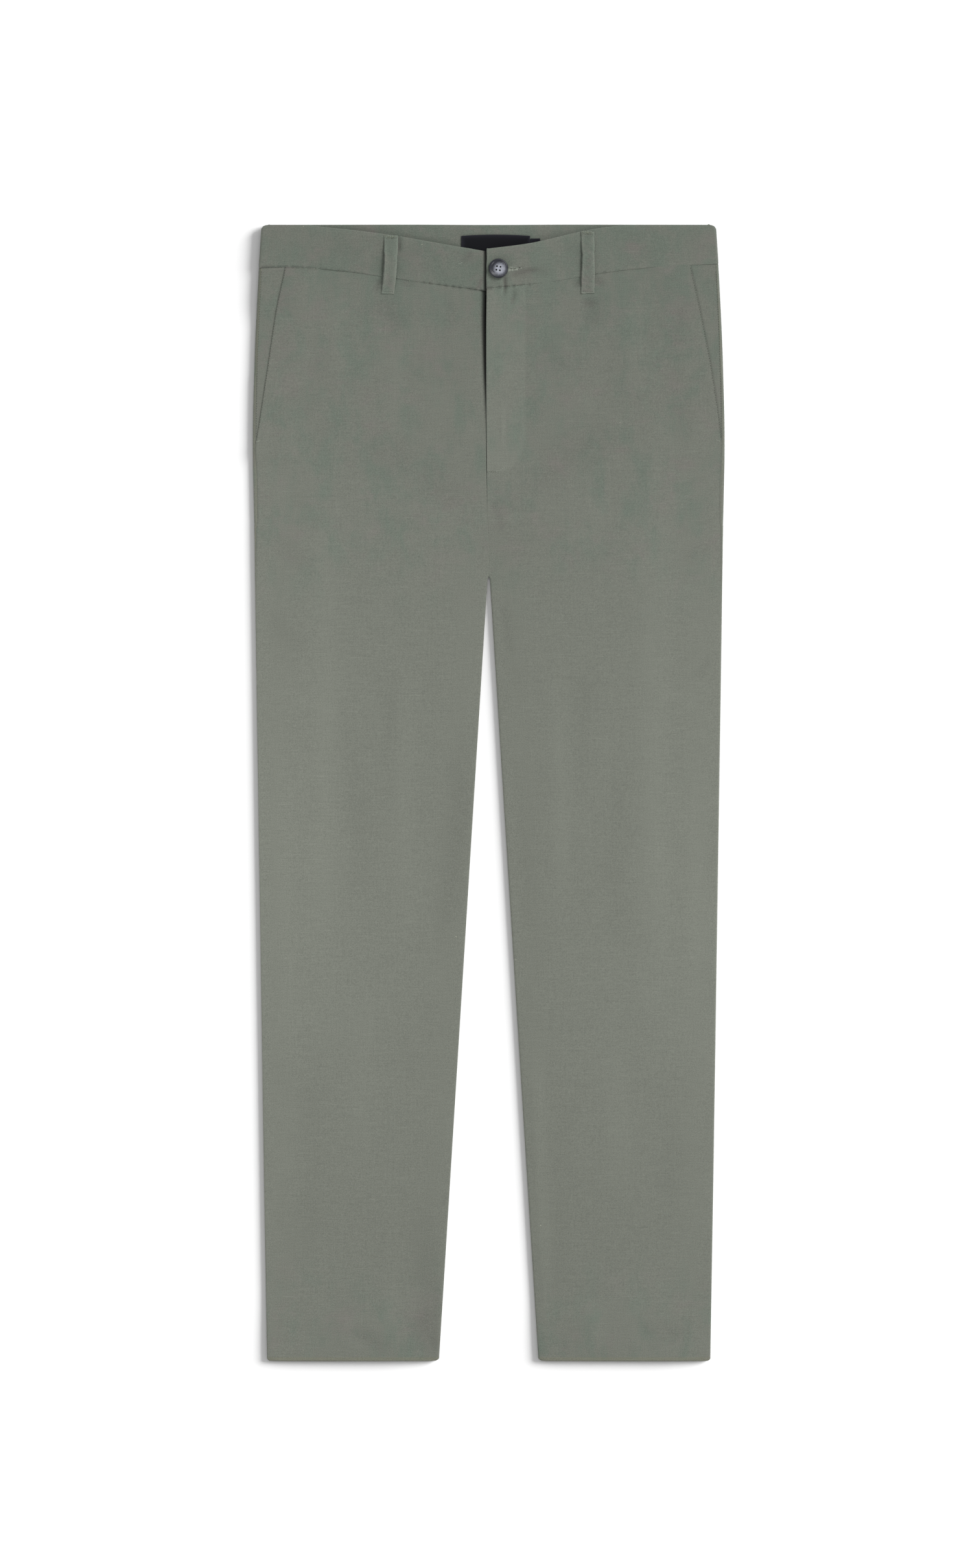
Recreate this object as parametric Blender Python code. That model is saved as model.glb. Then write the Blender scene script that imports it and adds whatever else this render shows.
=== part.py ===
"""Linen chinos lying flat with the front side up, as one solid for each piece that is cut and sewn.

+X is the wearer's left, +Y runs from the hems to the waist, and +Z is up from the surface that the
back lies on. The origin is on that surface, under the middle of the garment. Sizes here are in
millimetres, and add_piece() turns them into the scene's metres.

The two halves are worked out alike, by the distance from the centre line, called `across`, and
`height` is the place along +Y. A piece is a wall of cloth through rows of points, one row for each
height, and the wearer's right half is turned over to its own side at the end.
"""

import math

import bpy
import numpy as np
from mathutils import Vector

MILLIMETRE = 0.001

# Thickness of the cloth, and the space that sewn pieces keep between them.
CLOTH = 1.0
HEM_CLOTH = 1.5
FLY_CLOTH = 1.6
BAND_CLOTH = 1.8
LOOP_CLOTH = 1.5
SEAM_GAP = 0.3

# The garment's plan.
HEM_Y = -526.2
MOUTH_ACROSS = 190.0
SIDE_ACROSS = 212.0
WAIST_Y = 526.2
CROTCH_Y = 200.4
FLY_END_Y = 297.4
POCKET_END_Y = 322.0
HEM_DEPTH = 20.0
HEM_STEP = 3.0
INNER_LEG_AT_HEM = 46.0
HEM_CORNER = 2.5
HEM_CORNER_OUTER_INSET = 2.0
HEM_CORNER_INNER_INSET = 3.0

# How high it stands: its edges, and how much its middle swells above them.
EDGE_HEIGHT = 3.0
HEM_EDGE_HEIGHT = 4.0
LEG_PUFF = 2.2
HIP_PUFF = 2.7
WAIST_PUFF = 1.6
# The waist lies on the belt loops of the back, from the first of these heights to the second.
WAIST_LIFT = 1.5
WAIST_LIFT_Y = (430.0, 462.0)
WAIST_PUFF_Y = (420.0, 465.0)

# The fly: the left front laps over the right one and stands above it, most at the waist.
FLY_WIDTH = 36.0
FLY_STEP = 2.55
FLY_STEP_FADES = 76.0
FLY_STEP_FULL_Y = 465.0
FLY_FACING_CURVE_START = 8.0
FLY_FACING_CURVE_RISE = 37.0
FLY_FACING_CURVE_POWER = 1.6
SHIELD_Y = (FLY_END_Y + 4.0, 464.0)
SHIELD_PLACES = (-12.0, -8.0, -4.0, 2.0, 18.0)
SHIELD_FREE_EDGE = 34.0
SHIELD_CORNER = 12.0
SHIELD_CORNER_STEP = 0.3
SHIELD_GOES_UNDER_ZIP = (-10.0, 1.0)
ZIP_Y = (FLY_END_Y + 8.0, 461.0)
ZIP_PLACES = (3.0, 15.0, 27.0)
ZIP_ROWS = 7

# The slanted pocket: the front laps over the facing, and lies level again further in.
POCKET_STEP = CLOTH + SEAM_GAP
POCKET_UNDERLAP = 15.0
FACING_COLUMNS = 6
POCKET_LAP_FLAT = 20.0
POCKET_LAP_FADES = 45.0
POCKET_LAP_Y = (299.0, 319.0)
POCKET_ROWS_WIDEN_Y = (265.0, POCKET_END_Y - 5.0)

# How far from its edge a panel's middle stretch begins, and where its points lie in between.
RIM_ZONE = 9.0
RIM_STEPS = (0.0, 0.12, 0.25, 0.55, 1.0)
CENTRE_STEPS = (0.0, 0.25, 0.5, 0.75, 1.0)
MIDDLE_STEPS = 7
BACK_RIM_STEPS = 6

# Rows of a panel: heights up to the pocket's end, and above it shares of the way to the waist seam.
LEG_HEIGHTS = (HEM_Y, HEM_Y + HEM_CORNER, HEM_Y + HEM_DEPTH, HEM_Y + HEM_DEPTH + HEM_STEP) + (
    -420.0, -300.0, -160.0, -30.0, 60.0, 110.0, 142.0, 170.0, 197.0, 203.0,
    222.0, 238.0, 256.0, 275.0, 297.0, POCKET_END_Y,
)
HIP_STEPS = (0.15, 0.32, 0.49, 0.66, 0.78, 0.87, 1.0)

# The waistband: its rows as shares of its depth, and its points along the front and the back.
BAND_ROWS = (0.0, 0.44, 0.50, 0.86, 0.965, 1.0)
BAND_CORNER_INSETS = {0.965: 1.2, 1.0: 4.5}
BUTTONHOLE_CELL = (1, 1)
BUTTONHOLE_ENDS = (6.5, 29.5)
BAND_UNDERLAP = 34.0
BAND_MIDDLE_Y = 505.0
BAND_FRONT_PLACES = {
    "left": BUTTONHOLE_ENDS + (36.0, 46.0, 56.0, 66.0, 76.0, 98.0, 130.0, 155.0, 180.0, 200.0),
    "right": (0.0, 40.0, 70.0, 98.0, 130.0, 155.0, 180.0, 200.0),
}
BAND_BACK_PLACES = (190.0, 150.0, 100.0, 50.0, SEAM_GAP / 2.0)
BAND_EDGE_STEPS = 6
BAND_FLARE_ACROSS = (150.0, 200.0)

COLOURS = {
    "linen": (112, 116, 108),
    "zip": (92, 96, 88),
    "label": (25, 25, 38),
    "button": (74, 78, 92),
}

HEIGHT_AND_HALF_WIDTH = (
    (-526.2, 205.2),
    (-346.0, 208.2),
    (-106.0, 211.8),
    (110.0, 215.1),
    (230.0, 216.9),
    (326.0, 218.7),
    (398.0, 217.2),
    (470.0, 213.9),
    (526.2, 210.4),
)
HEIGHT_AND_SIDE_SEAM_INSET = (
    (60.0, 0.0),
    (180.0, 0.7),
    (238.0, 1.4),
    (256.0, 2.9),
    (285.0, 3.5),
    (326.0, 2.7),
    (400.0, 2.3),
    (487.0, 2.0),
)
HEIGHT_AND_FLY_EDGE = (
    (200.0, 0.0),
    (222.0, 0.2),
    (263.0, -1.5),
    (297.0, -2.0),
    (432.0, -2.4),
    (470.0, -2.0),
    (506.0, -2.0),
)
HEIGHT_AND_FLY_GAP = (
    (200.0, 0.3),
    (340.0, 0.3),
    (400.0, 1.6),
    (432.0, 3.0),
    (466.0, 3.2),
)
# The lines that differ between the two halves.
ACROSS_AND_WAIST_SEAM_Y = {
    "right": ((0.0, 464.8), (40.0, 469.9), (100.0, 478.8), (136.0, 483.6), (188.0, 487.0), (212.0, 486.4)),
    "left": ((0.0, 467.4), (43.0, 471.6), (100.0, 480.8), (130.0, 484.9), (164.0, 488.0), (212.0, 490.4)),
}
ACROSS_AND_BAND_TOP_Y = {
    "right": ((0.0, 501.4), (44.0, 508.8), (98.0, 517.8), (140.0, 522.8), (180.0, 526.2), (211.0, 526.2)),
    "left": ((0.0, 504.4), (38.0, 509.3), (84.0, 519.6), (112.0, 524.4), (140.0, 526.2), (211.0, 526.2)),
}
HEIGHT_AND_POCKET_MOUTH = {
    "right": ((322.0, 213.9), (391.2, 205.2), (449.4, 196.3), (486.9, 188.2)),
    "left": ((322.0, 215.6), (355.2, 212.3), (400.5, 205.2), (437.4, 198.0), (490.0, 186.6)),
}
ACROSS_AND_BAND_UNDERSIDE = {
    "right": ((0.0, 4.9), (60.0, 4.9), (130.0, 4.7), (212.0, 4.6)),
    "left": ((0.0, 7.0), (36.0, 7.0), (56.0, 5.9), (76.0, 4.8), (130.0, 4.7), (212.0, 4.6)),
}

# A front belt loop's points: the share of its length, and how far it stands off what it is sewn to.
LOOP_STEPS = (0.0, 0.1, 0.2, 0.3, 0.45, 0.6, 0.75, 0.88, 1.0)
LOOP_ARCH = 2.0
LOOP_MEETS_BAND = (0.15, 0.25)
BACK_LOOP_WIDTH = 12.8
BACK_LOOP_Y = (472.0, 490.0, 508.0, WAIST_Y - 1.0)
BACK_LOOP_PLACES = {"right": -105.0, "centre": 5.0, "left": 105.0}

BUTTON_RADIUS = 9.0
BUTTON_PLACE = (9.0, 485.8)
BUTTON_TURN = -10.0
BUTTON_HOLE_RADIUS = 0.95
BUTTON_HOLE_OFFSET = 1.7
BUTTON_SIDES = 32
SHANK_RADIUS = 0.9

OUT_OF_FRONT = (0.0, 1.0)
OUT_OF_BACK = (0.0, -1.0)


def smooth(start, end, value):
    """0 up to start, 1 from end on, and an even curve between them."""
    part = min(max((value - start) / (end - start), 0.0), 1.0)
    return part * part * (3.0 - 2.0 * part)


def mix(first, second, part):
    return first + (second - first) * part


def through(table):
    """A curve through a table's rows that is level at its peaks, so it never passes a row's value."""
    places = np.array([row[0] for row in table])
    values = np.array([row[1] for row in table])
    slopes = np.diff(values) / np.diff(places)
    product = slopes[1:] * slopes[:-1]
    level_peak = product <= 0.0
    both = np.where(level_peak, 1.0, slopes[1:] + slopes[:-1])
    inner = np.where(level_peak, 0.0, 2.0 * product / both)
    tangents = np.concatenate([slopes[:1], inner, slopes[-1:]])

    def value_at(place):
        place = min(max(place, places[0]), places[-1])
        index = min(int(np.searchsorted(places, place, side="right")) - 1, len(slopes) - 1)
        length = places[index + 1] - places[index]
        part = (place - places[index]) / length
        return float(
            values[index] * (1.0 + 2.0 * part) * (1.0 - part) ** 2
            + values[index + 1] * part * part * (3.0 - 2.0 * part)
            + length * tangents[index] * part * (1.0 - part) ** 2
            - length * tangents[index + 1] * part * part * (1.0 - part)
        )

    return value_at


half_width = through(HEIGHT_AND_HALF_WIDTH)
side_seam_inset = through(HEIGHT_AND_SIDE_SEAM_INSET)
fly_edge = through(HEIGHT_AND_FLY_EDGE)
fly_gap = through(HEIGHT_AND_FLY_GAP)


class Half:
    """The wearer's left or right half of the garment, with the lines that are its own."""

    def __init__(self, name):
        self.name = name
        self.sign = 1.0 if name == "left" else -1.0
        self.waist_seam = through(ACROSS_AND_WAIST_SEAM_Y[name])
        self.band_top = through(ACROSS_AND_BAND_TOP_Y[name])
        self.pocket_mouth = through(HEIGHT_AND_POCKET_MOUTH[name])
        self.band_underside = through(ACROSS_AND_BAND_UNDERSIDE[name])

    def front_edge(self, height):
        """The front panel's edge at the centre. The left one laps over the right down to the fly's end."""
        if height < FLY_END_Y:
            return SEAM_GAP / 2.0 + self.sign * fly_edge(height)
        if self.name == "left":
            return fly_edge(height)
        return fly_gap(height) - fly_edge(height)

    def fly_raise(self, across, height):
        """How far the left half stands above the right one's level."""
        if self.name == "right":
            return 0.0
        inward = 1.0 - smooth(FLY_WIDTH, FLY_STEP_FADES, across)
        return FLY_STEP * smooth(FLY_END_Y, FLY_STEP_FULL_Y, height) * inward


def inner_edge(height):
    """The leg's inner edge, and the centre line above the crotch."""
    return max(INNER_LEG_AT_HEM * (CROTCH_Y - height) / (CROTCH_Y - HEM_Y), 0.0)


def hem_corner(height):
    """1 at the hem, and 0 above its rounded corners."""
    return 1.0 - smooth(HEM_Y, HEM_Y + HEM_CORNER, height)


def leg_outline(height, inner):
    """The edge of the garment's outline, on the leg's inner or outer side."""
    if inner:
        return inner_edge(height) + HEM_CORNER_INNER_INSET * hem_corner(height)
    return half_width(height) - HEM_CORNER_OUTER_INSET * hem_corner(height)


def underside(height):
    return WAIST_LIFT * smooth(*WAIST_LIFT_Y, height)


def edge_height(height):
    """How thick the garment is at its side edges, where the hem's fold makes it thicker."""
    fold = HEM_Y + HEM_DEPTH
    return mix(HEM_EDGE_HEIGHT, EDGE_HEIGHT, smooth(fold, fold + HEM_STEP, height))


def tube_top(half, across, height):
    """The level of the front's outer face, and of the pocket facing where the front laps over it."""
    outer = leg_outline(height, False) - edge_height(height) / 2.0
    inner = inner_edge(height)
    part = min(max((across - inner) / (outer - inner), 0.0), 1.0)
    leg = LEG_PUFF * (1.0 - abs(2.0 * part - 1.0) ** 3)
    body = mix(HIP_PUFF, WAIST_PUFF, smooth(*WAIST_PUFF_Y, height))
    body *= 1.0 - min(max(across / outer, 0.0), 1.0) ** 3
    puff = mix(leg, body, smooth(CROTCH_Y - 10.0, FLY_END_Y, height))
    return underside(height) + edge_height(height) + puff + half.fly_raise(across, height)


def front_top(half, across, height):
    """The front panel's outer face."""
    inward = half.pocket_mouth(height) - across
    near_mouth = 1.0 - smooth(POCKET_LAP_FLAT, POCKET_LAP_FADES, inward)
    return tube_top(half, across, height) + POCKET_STEP * near_mouth * smooth(*POCKET_LAP_Y, height)


def rim_point(half, height, along, inner=False):
    """A point of a side edge's outer face, and its normal, seen along the leg: (across, level, normal).

    `along` is measured round the edge from where it leaves the surface. Points before that lie on the
    underside, and those past the half circle lie on the front.
    """
    radius = edge_height(height) / 2.0
    base = underside(height)
    outward = -1.0 if inner else 1.0
    centre = leg_outline(height, inner) - outward * radius
    if along <= 0.0:
        return centre + outward * along, base, OUT_OF_BACK
    if along < math.pi * radius:
        turn = (outward * math.sin(along / radius), -math.cos(along / radius))
        return centre + radius * turn[0], base + radius + radius * turn[1], turn
    across = centre - outward * (along - math.pi * radius)
    return across, front_top(half, across, height), OUT_OF_FRONT


def side_seam(height):
    """How far round the side edge the seam lies: at its middle on the legs, and on the front at the hips."""
    radius = edge_height(height) / 2.0
    inset = side_seam_inset(height)
    if inset < radius:
        return math.pi / 2.0 * (radius + inset)
    return math.pi * radius + inset - radius


def panel_cloth(height):
    return HEM_CLOTH if height <= HEM_Y + HEM_DEPTH else CLOTH


def front_cloth(half, across, height):
    """The left front is double where its fly facing is folded under, down to the facing's curved end."""
    past_curve = max((across - FLY_FACING_CURVE_START) / (FLY_WIDTH - FLY_FACING_CURVE_START), 0.0)
    facing_end = FLY_END_Y + FLY_FACING_CURVE_RISE * past_curve ** FLY_FACING_CURVE_POWER
    doubled = half.name == "left" and across < FLY_WIDTH + 1.0 and height > facing_end - 1.0
    return FLY_CLOTH if doubled else panel_cloth(height)


def both_faces(across, height, level, turn, cloth):
    """A wall's outer point and the inner point behind it."""
    return (across, height, level), (across - turn[0] * cloth, height, level - turn[1] * cloth)


def linear(channel):
    """A screen colour's channel as a share of light."""
    share = channel / 255.0
    return share / 12.92 if share <= 0.04045 else ((share + 0.055) / 1.055) ** 2.4


def finish(name, colour, roughness):
    """The piece's own material."""
    made = bpy.data.materials.new(name)
    made.use_nodes = True
    shader = made.node_tree.nodes["Principled BSDF"]
    shader.inputs["Base Color"].default_value = [linear(channel) for channel in COLOURS[colour]] + [1.0]
    shader.inputs["Roughness"].default_value = roughness
    shader.inputs["Metallic"].default_value = 0.0
    return made


def add_piece(name, points, faces, colour="linen", roughness=0.9):
    """One closed solid under the garment's empty."""
    mesh = bpy.data.meshes.new(name)
    mesh.from_pydata([Vector(point) * MILLIMETRE for point in points], [], faces)
    mesh.materials.append(finish(name, colour, roughness))
    piece = bpy.data.objects.new(name, mesh)
    piece.parent = garment
    bpy.context.scene.collection.objects.link(piece)
    return piece


def volume(points, faces):
    total = 0.0
    for face in faces:
        first = Vector(points[face[0]])
        for second, third in zip(face[1:-1], face[2:]):
            total += first.dot(Vector(points[second]).cross(Vector(points[third])))
    return total / 6.0


def wall(name, rows, sign=1.0, holes=(), **look):
    """A wall of cloth through rows of (outer point, inner point), open in the cells that holes lists."""
    count = len(rows[0])
    points = []
    for face in (0, 1):
        for row in rows:
            points += [(sign * place[face][0], place[face][1], place[face][2]) for place in row]
    below = len(rows) * count
    faces = []
    open_edges = {}
    for row in range(len(rows) - 1):
        for column in range(count - 1):
            if (row, column) in holes:
                continue
            first = row * count + column
            corners = (first, first + 1, first + count + 1, first + count)
            faces.append(corners)
            faces.append(tuple(corner + below for corner in reversed(corners)))
            for start, end in zip(corners, corners[1:] + corners[:1]):
                if (end, start) in open_edges:
                    del open_edges[end, start]
                else:
                    open_edges[start, end] = (end, start, start + below, end + below)
    faces += open_edges.values()
    if volume(points, faces) < 0.0:
        faces = [tuple(reversed(face)) for face in faces]
    return add_piece(name, points, faces, **look)


def hip_height(seam_height, step):
    return mix(POCKET_END_Y, seam_height - SEAM_GAP / 2.0, step)


def front_leg_row(half, height):
    """A level row of a front panel, from the side seam over the front to the inseam or the centre."""
    radius = edge_height(height) / 2.0
    rim_end = math.pi * radius + RIM_ZONE - radius
    outer_end = rim_end + (POCKET_LAP_FLAT - RIM_ZONE) * smooth(*POCKET_ROWS_WIDEN_Y, height)
    start = side_seam(height) + SEAM_GAP / 2.0
    rim = [rim_point(half, height, mix(start, outer_end, part)) for part in RIM_STEPS]
    if height < CROTCH_Y:
        seam = math.pi * radius / 2.0 + SEAM_GAP / 2.0
        centre = [rim_point(half, height, mix(seam, rim_end, part), True) for part in reversed(RIM_STEPS)]
    else:
        zone = mix(RIM_ZONE, FLY_WIDTH, smooth(CROTCH_Y, FLY_END_Y, height))
        places = [mix(zone, half.front_edge(height), part) for part in CENTRE_STEPS]
        centre = [(across, front_top(half, across, height), OUT_OF_FRONT) for across in places]
    middle = []
    for step in range(1, MIDDLE_STEPS):
        across = mix(rim[-1][0], centre[0][0], step / MIDDLE_STEPS)
        middle.append((across, front_top(half, across, height), OUT_OF_FRONT))
    row = []
    for across, level, turn in rim + middle + centre:
        row.append(both_faces(across, height, level, turn, front_cloth(half, across, height)))
    return row


def front_hip_row(half, step):
    """A front panel's row between the pocket's end and the waist, from the pocket's mouth to the centre."""
    mouth = half.pocket_mouth(hip_height(half.waist_seam(MOUTH_ACROSS), step))
    centre = half.front_edge(hip_height(half.waist_seam(0.0), step))
    lap_end = mouth - POCKET_LAP_FLAT
    places = [mouth - POCKET_LAP_FLAT * part for part in RIM_STEPS]
    places += [mix(lap_end, FLY_WIDTH, part / MIDDLE_STEPS) for part in range(1, MIDDLE_STEPS)]
    places += [mix(FLY_WIDTH, centre, part) for part in CENTRE_STEPS]
    row = []
    for across in places:
        height = hip_height(half.waist_seam(abs(across)), step)
        level = front_top(half, across, height)
        row.append(both_faces(across, height, level, OUT_OF_FRONT, front_cloth(half, across, height)))
    return row


def front_panel(half):
    rows = [front_leg_row(half, height) for height in LEG_HEIGHTS]
    rows += [front_hip_row(half, step) for step in HIP_STEPS]
    return wall(f"front_panel_{half.name}", rows, half.sign)


def back_row(half, height):
    """A level row of a back panel, from the inseam or the centre, underneath and up round the side edge."""
    radius = edge_height(height) / 2.0
    flat_end = radius - RIM_ZONE
    if height < CROTCH_Y:
        seam = math.pi * radius / 2.0 - SEAM_GAP / 2.0
        centre = [rim_point(half, height, seam * part, True) for part in (1.0, 0.67, 0.33, 0.0)]
        centre.append(rim_point(half, height, flat_end, True))
    else:
        places = [mix(SEAM_GAP / 2.0, RIM_ZONE, part) for part in CENTRE_STEPS]
        centre = [(across, underside(height), OUT_OF_BACK) for across in places]
    seam = side_seam(height) - SEAM_GAP / 2.0
    rim = [rim_point(half, height, flat_end)]
    rim += [rim_point(half, height, seam * part / BACK_RIM_STEPS) for part in range(BACK_RIM_STEPS + 1)]
    middle = []
    for step in range(1, MIDDLE_STEPS):
        middle.append((mix(centre[-1][0], rim[0][0], step / MIDDLE_STEPS), underside(height), OUT_OF_BACK))
    cloth = panel_cloth(height)
    return [both_faces(across, height, level, turn, cloth) for across, level, turn in centre + middle + rim]


def back_panel(half):
    side_seam_top = half.waist_seam(SIDE_ACROSS)
    heights = LEG_HEIGHTS + tuple(hip_height(side_seam_top, step) for step in HIP_STEPS)
    return wall(f"back_panel_{half.name}", [back_row(half, height) for height in heights], half.sign)


def pocket_facing(half):
    """The piece behind the slanted mouth, from the side seam in under the front."""
    rows = []
    for step in (0.0,) + HIP_STEPS:
        height = hip_height(half.waist_seam(SIDE_ACROSS), step)
        outer = leg_outline(height, False) - side_seam_inset(height) - SEAM_GAP / 2.0
        inner = half.pocket_mouth(height) - POCKET_UNDERLAP
        row = []
        for column in range(FACING_COLUMNS):
            across = mix(outer, inner, column / (FACING_COLUMNS - 1))
            place = hip_height(half.waist_seam(across), step)
            row.append(both_faces(across, place, tube_top(half, across, place), OUT_OF_FRONT, CLOTH))
        rows.append(row)
    return wall(f"pocket_facing_{half.name}", rows, half.sign)


def fly_shield(left, right):
    """The strip under the fly, sewn to the right front's edge and lying under the zip."""
    rows = []
    for step in (0.0,) + HIP_STEPS:
        height = mix(*SHIELD_Y, step)
        free_edge = SHIELD_FREE_EDGE - SHIELD_CORNER * (1.0 - smooth(0.0, SHIELD_CORNER_STEP, step))
        row = []
        for across in SHIELD_PLACES + (free_edge,):
            under_right = tube_top(right, abs(across), height) - CLOTH - SEAM_GAP
            under_zip = tube_top(left, abs(across), height) - FLY_CLOTH - CLOTH - 2.0 * SEAM_GAP
            under_both = min(under_zip, under_right)
            level = mix(under_right, under_both, smooth(*SHIELD_GOES_UNDER_ZIP, across))
            row.append(both_faces(across, height, level, OUT_OF_FRONT, CLOTH))
        rows.append(row)
    return wall("fly_shield", rows)


def fly_zip(left):
    """The closed zip between the shield and the left front."""
    rows = []
    for step in range(ZIP_ROWS):
        height = mix(*ZIP_Y, step / (ZIP_ROWS - 1))
        row = []
        for across in ZIP_PLACES:
            level = tube_top(left, across, height) - FLY_CLOTH - SEAM_GAP
            row.append(both_faces(across, height, level, OUT_OF_FRONT, CLOTH))
        rows.append(row)
    return wall("fly_zip", rows, colour="zip", roughness=0.7)


def band_path(half, inset):
    """The waistband seen along the leg: (across, level, normal) from its front end to the centre back."""
    edge = half_width(BAND_MIDDLE_Y) - inset
    radius = (half.band_underside(edge) + BAND_CLOTH - WAIST_LIFT) / 2.0
    front_end = fly_edge(BAND_MIDDLE_Y) if half.name == "left" else -BAND_UNDERLAP
    path = []
    for across in (front_end,) + BAND_FRONT_PLACES[half.name]:
        path.append((across, half.band_underside(across) + BAND_CLOTH, OUT_OF_FRONT))
    for part in range(BAND_EDGE_STEPS + 1):
        angle = math.pi * (1.0 - part / BAND_EDGE_STEPS)
        turn = (math.sin(angle), -math.cos(angle))
        path.append((edge - radius + radius * turn[0], WAIST_LIFT + radius + radius * turn[1], turn))
    path += [(across, WAIST_LIFT, OUT_OF_BACK) for across in BAND_BACK_PLACES]
    return path


def waistband(half):
    """Half of the waistband: a strip from its front end round the side to the centre back."""
    rows = []
    for step in BAND_ROWS:
        row = []
        for across, level, turn in band_path(half, BAND_CORNER_INSETS.get(step, 0.0)):
            on_front = turn[1] > 0.0
            low = half.waist_seam(abs(across) if on_front else SIDE_ACROSS)
            high = half.band_top(abs(across)) if on_front else WAIST_Y
            height = mix(low + SEAM_GAP / 2.0, high, step)
            flare = mix(half_width(low), half_width(high), step) - half_width(BAND_MIDDLE_Y)
            wide = across + flare * smooth(*BAND_FLARE_ACROSS, across)
            row.append(both_faces(wide, height, level, turn, BAND_CLOTH))
        rows.append(row)
    holes = {BUTTONHOLE_CELL} if half.name == "left" else ()
    return wall(f"waistband_{half.name}", rows, half.sign, holes)


def front_belt_loop(half, top, foot, top_width, foot_width):
    """A folded strip sewn down at both ends, standing a little off the waistband between them."""
    rows = []
    for part in LOOP_STEPS:
        across = mix(foot[0], top[0], part)
        height = mix(foot[1], top[1], part)
        width = mix(foot_width, top_width, part)
        panel = front_top(half, across, height)
        band = max(half.band_underside(across) + BAND_CLOTH, panel)
        carrier = mix(panel, band, smooth(*LOOP_MEETS_BAND, part))
        level = carrier + SEAM_GAP + LOOP_CLOTH + LOOP_ARCH * math.sin(math.pi * part) ** 2
        places = (across - width / 2.0, across, across + width / 2.0)
        rows.append([both_faces(place, height, level, OUT_OF_FRONT, LOOP_CLOTH) for place in places])
    return wall(f"belt_loop_front_{half.name}", rows, half.sign)


def back_belt_loop(name, across):
    """A folded strip pressed flat between the surface and the back of the waist."""
    rows = []
    for height in BACK_LOOP_Y:
        level = WAIST_LIFT - SEAM_GAP
        ends = (across - BACK_LOOP_WIDTH / 2.0, across + BACK_LOOP_WIDTH / 2.0)
        rows.append([both_faces(place, height, level, OUT_OF_FRONT, level) for place in ends])
    return wall(f"belt_loop_back_{name}", rows)


def flat_label(name, low, high, arch, columns):
    """A woven label on the inner face of the waistband's back, its upper edge a little arched."""
    level = WAIST_LIFT + BAND_CLOTH + SEAM_GAP + CLOTH
    rows = []
    for upper in (0.0, 1.0):
        row = []
        for column in range(columns + 1):
            along = column / columns
            rise = arch * (1.0 - (2.0 * along - 1.0) ** 2)
            place = (mix(low[0], high[0], along), mix(low[1], high[1], upper) + rise)
            row.append(both_faces(*place, level, OUT_OF_FRONT, CLOTH))
        rows.append(row)
    return wall(name, rows, colour="label", roughness=0.75)


def cut_hole(button, right, up):
    """A round hole through the button, made by a cutter that is not part of the garment."""
    bpy.ops.mesh.primitive_cylinder_add(
        vertices=12, radius=BUTTON_HOLE_RADIUS * MILLIMETRE, depth=8.0 * MILLIMETRE
    )
    cutter = bpy.context.object
    cutter.name = f"hole_cutter_{right:+.0f}_{up:+.0f}"
    cutter.parent = button
    cutter.location = Vector((right, up, 1.0)) * MILLIMETRE
    cutter.hide_render = True
    cutter.display_type = "WIRE"
    hole = button.modifiers.new(cutter.name, "BOOLEAN")
    hole.operation = "DIFFERENCE"
    hole.object = cutter


def waist_button(left):
    """A turned button with a raised rim and four holes, on a thread shank through the buttonhole."""
    shank = BAND_CLOTH + SEAM_GAP
    profile = (
        (SHANK_RADIUS, -shank), (SHANK_RADIUS, 0.0), (7.6, 0.0), (8.7, 0.7), (BUTTON_RADIUS, 1.6),
        (8.8, 2.5), (8.1, 2.9), (7.3, 2.7), (6.4, 2.0), (4.4, 1.7),
    )
    points = [(0.0, 0.0, -shank), (0.0, 0.0, 1.6)]
    for side in range(BUTTON_SIDES):
        angle = 2.0 * math.pi * side / BUTTON_SIDES
        points += [(out * math.cos(angle), out * math.sin(angle), up) for out, up in profile]
    faces = []
    count = len(profile)
    for side in range(BUTTON_SIDES):
        here = 2 + side * count
        after = 2 + (side + 1) % BUTTON_SIDES * count
        faces.append((0, after, here))
        faces.append((1, here + count - 1, after + count - 1))
        for step in range(count - 1):
            faces.append((here + step, after + step, after + step + 1, here + step + 1))
    button = add_piece("waist_button", points, faces, "button", 0.35)
    seat = left.band_underside(0.0) + BAND_CLOTH + SEAM_GAP
    button.location = Vector((*BUTTON_PLACE, seat)) * MILLIMETRE
    button.rotation_euler = (0.0, 0.0, math.radians(BUTTON_TURN))
    for right in (-BUTTON_HOLE_OFFSET, BUTTON_HOLE_OFFSET):
        for up in (-BUTTON_HOLE_OFFSET, BUTTON_HOLE_OFFSET):
            cut_hole(button, right, up)
    button.data.shade_smooth()
    button.data.set_sharp_from_angle(angle=math.radians(50.0))
    return button


for old_object in list(bpy.data.objects):
    bpy.data.objects.remove(old_object)

garment = bpy.data.objects.new("linen_chinos", None)
bpy.context.scene.collection.objects.link(garment)
left_half = Half("left")
right_half = Half("right")
for each_half in (left_half, right_half):
    back_panel(each_half)
    front_panel(each_half)
    pocket_facing(each_half)
    waistband(each_half)
fly_shield(left_half, right_half)
fly_zip(left_half)
front_belt_loop(right_half, top=(90.6, 516.2), foot=(93.6, 462.3), top_width=13.2, foot_width=12.4)
front_belt_loop(left_half, top=(91.5, 520.0), foot=(91.5, 462.8), top_width=12.8, foot_width=12.6)
for loop_name, loop_place in BACK_LOOP_PLACES.items():
    back_belt_loop(loop_name, loop_place)
flat_label("label_main", low=(-25.4, 492.0), high=(38.2, 516.0), arch=1.2, columns=6)
flat_label("label_size", low=(38.6, 499.5), high=(47.7, 513.6), arch=0.0, columns=1)
waist_button(left_half)
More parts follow.
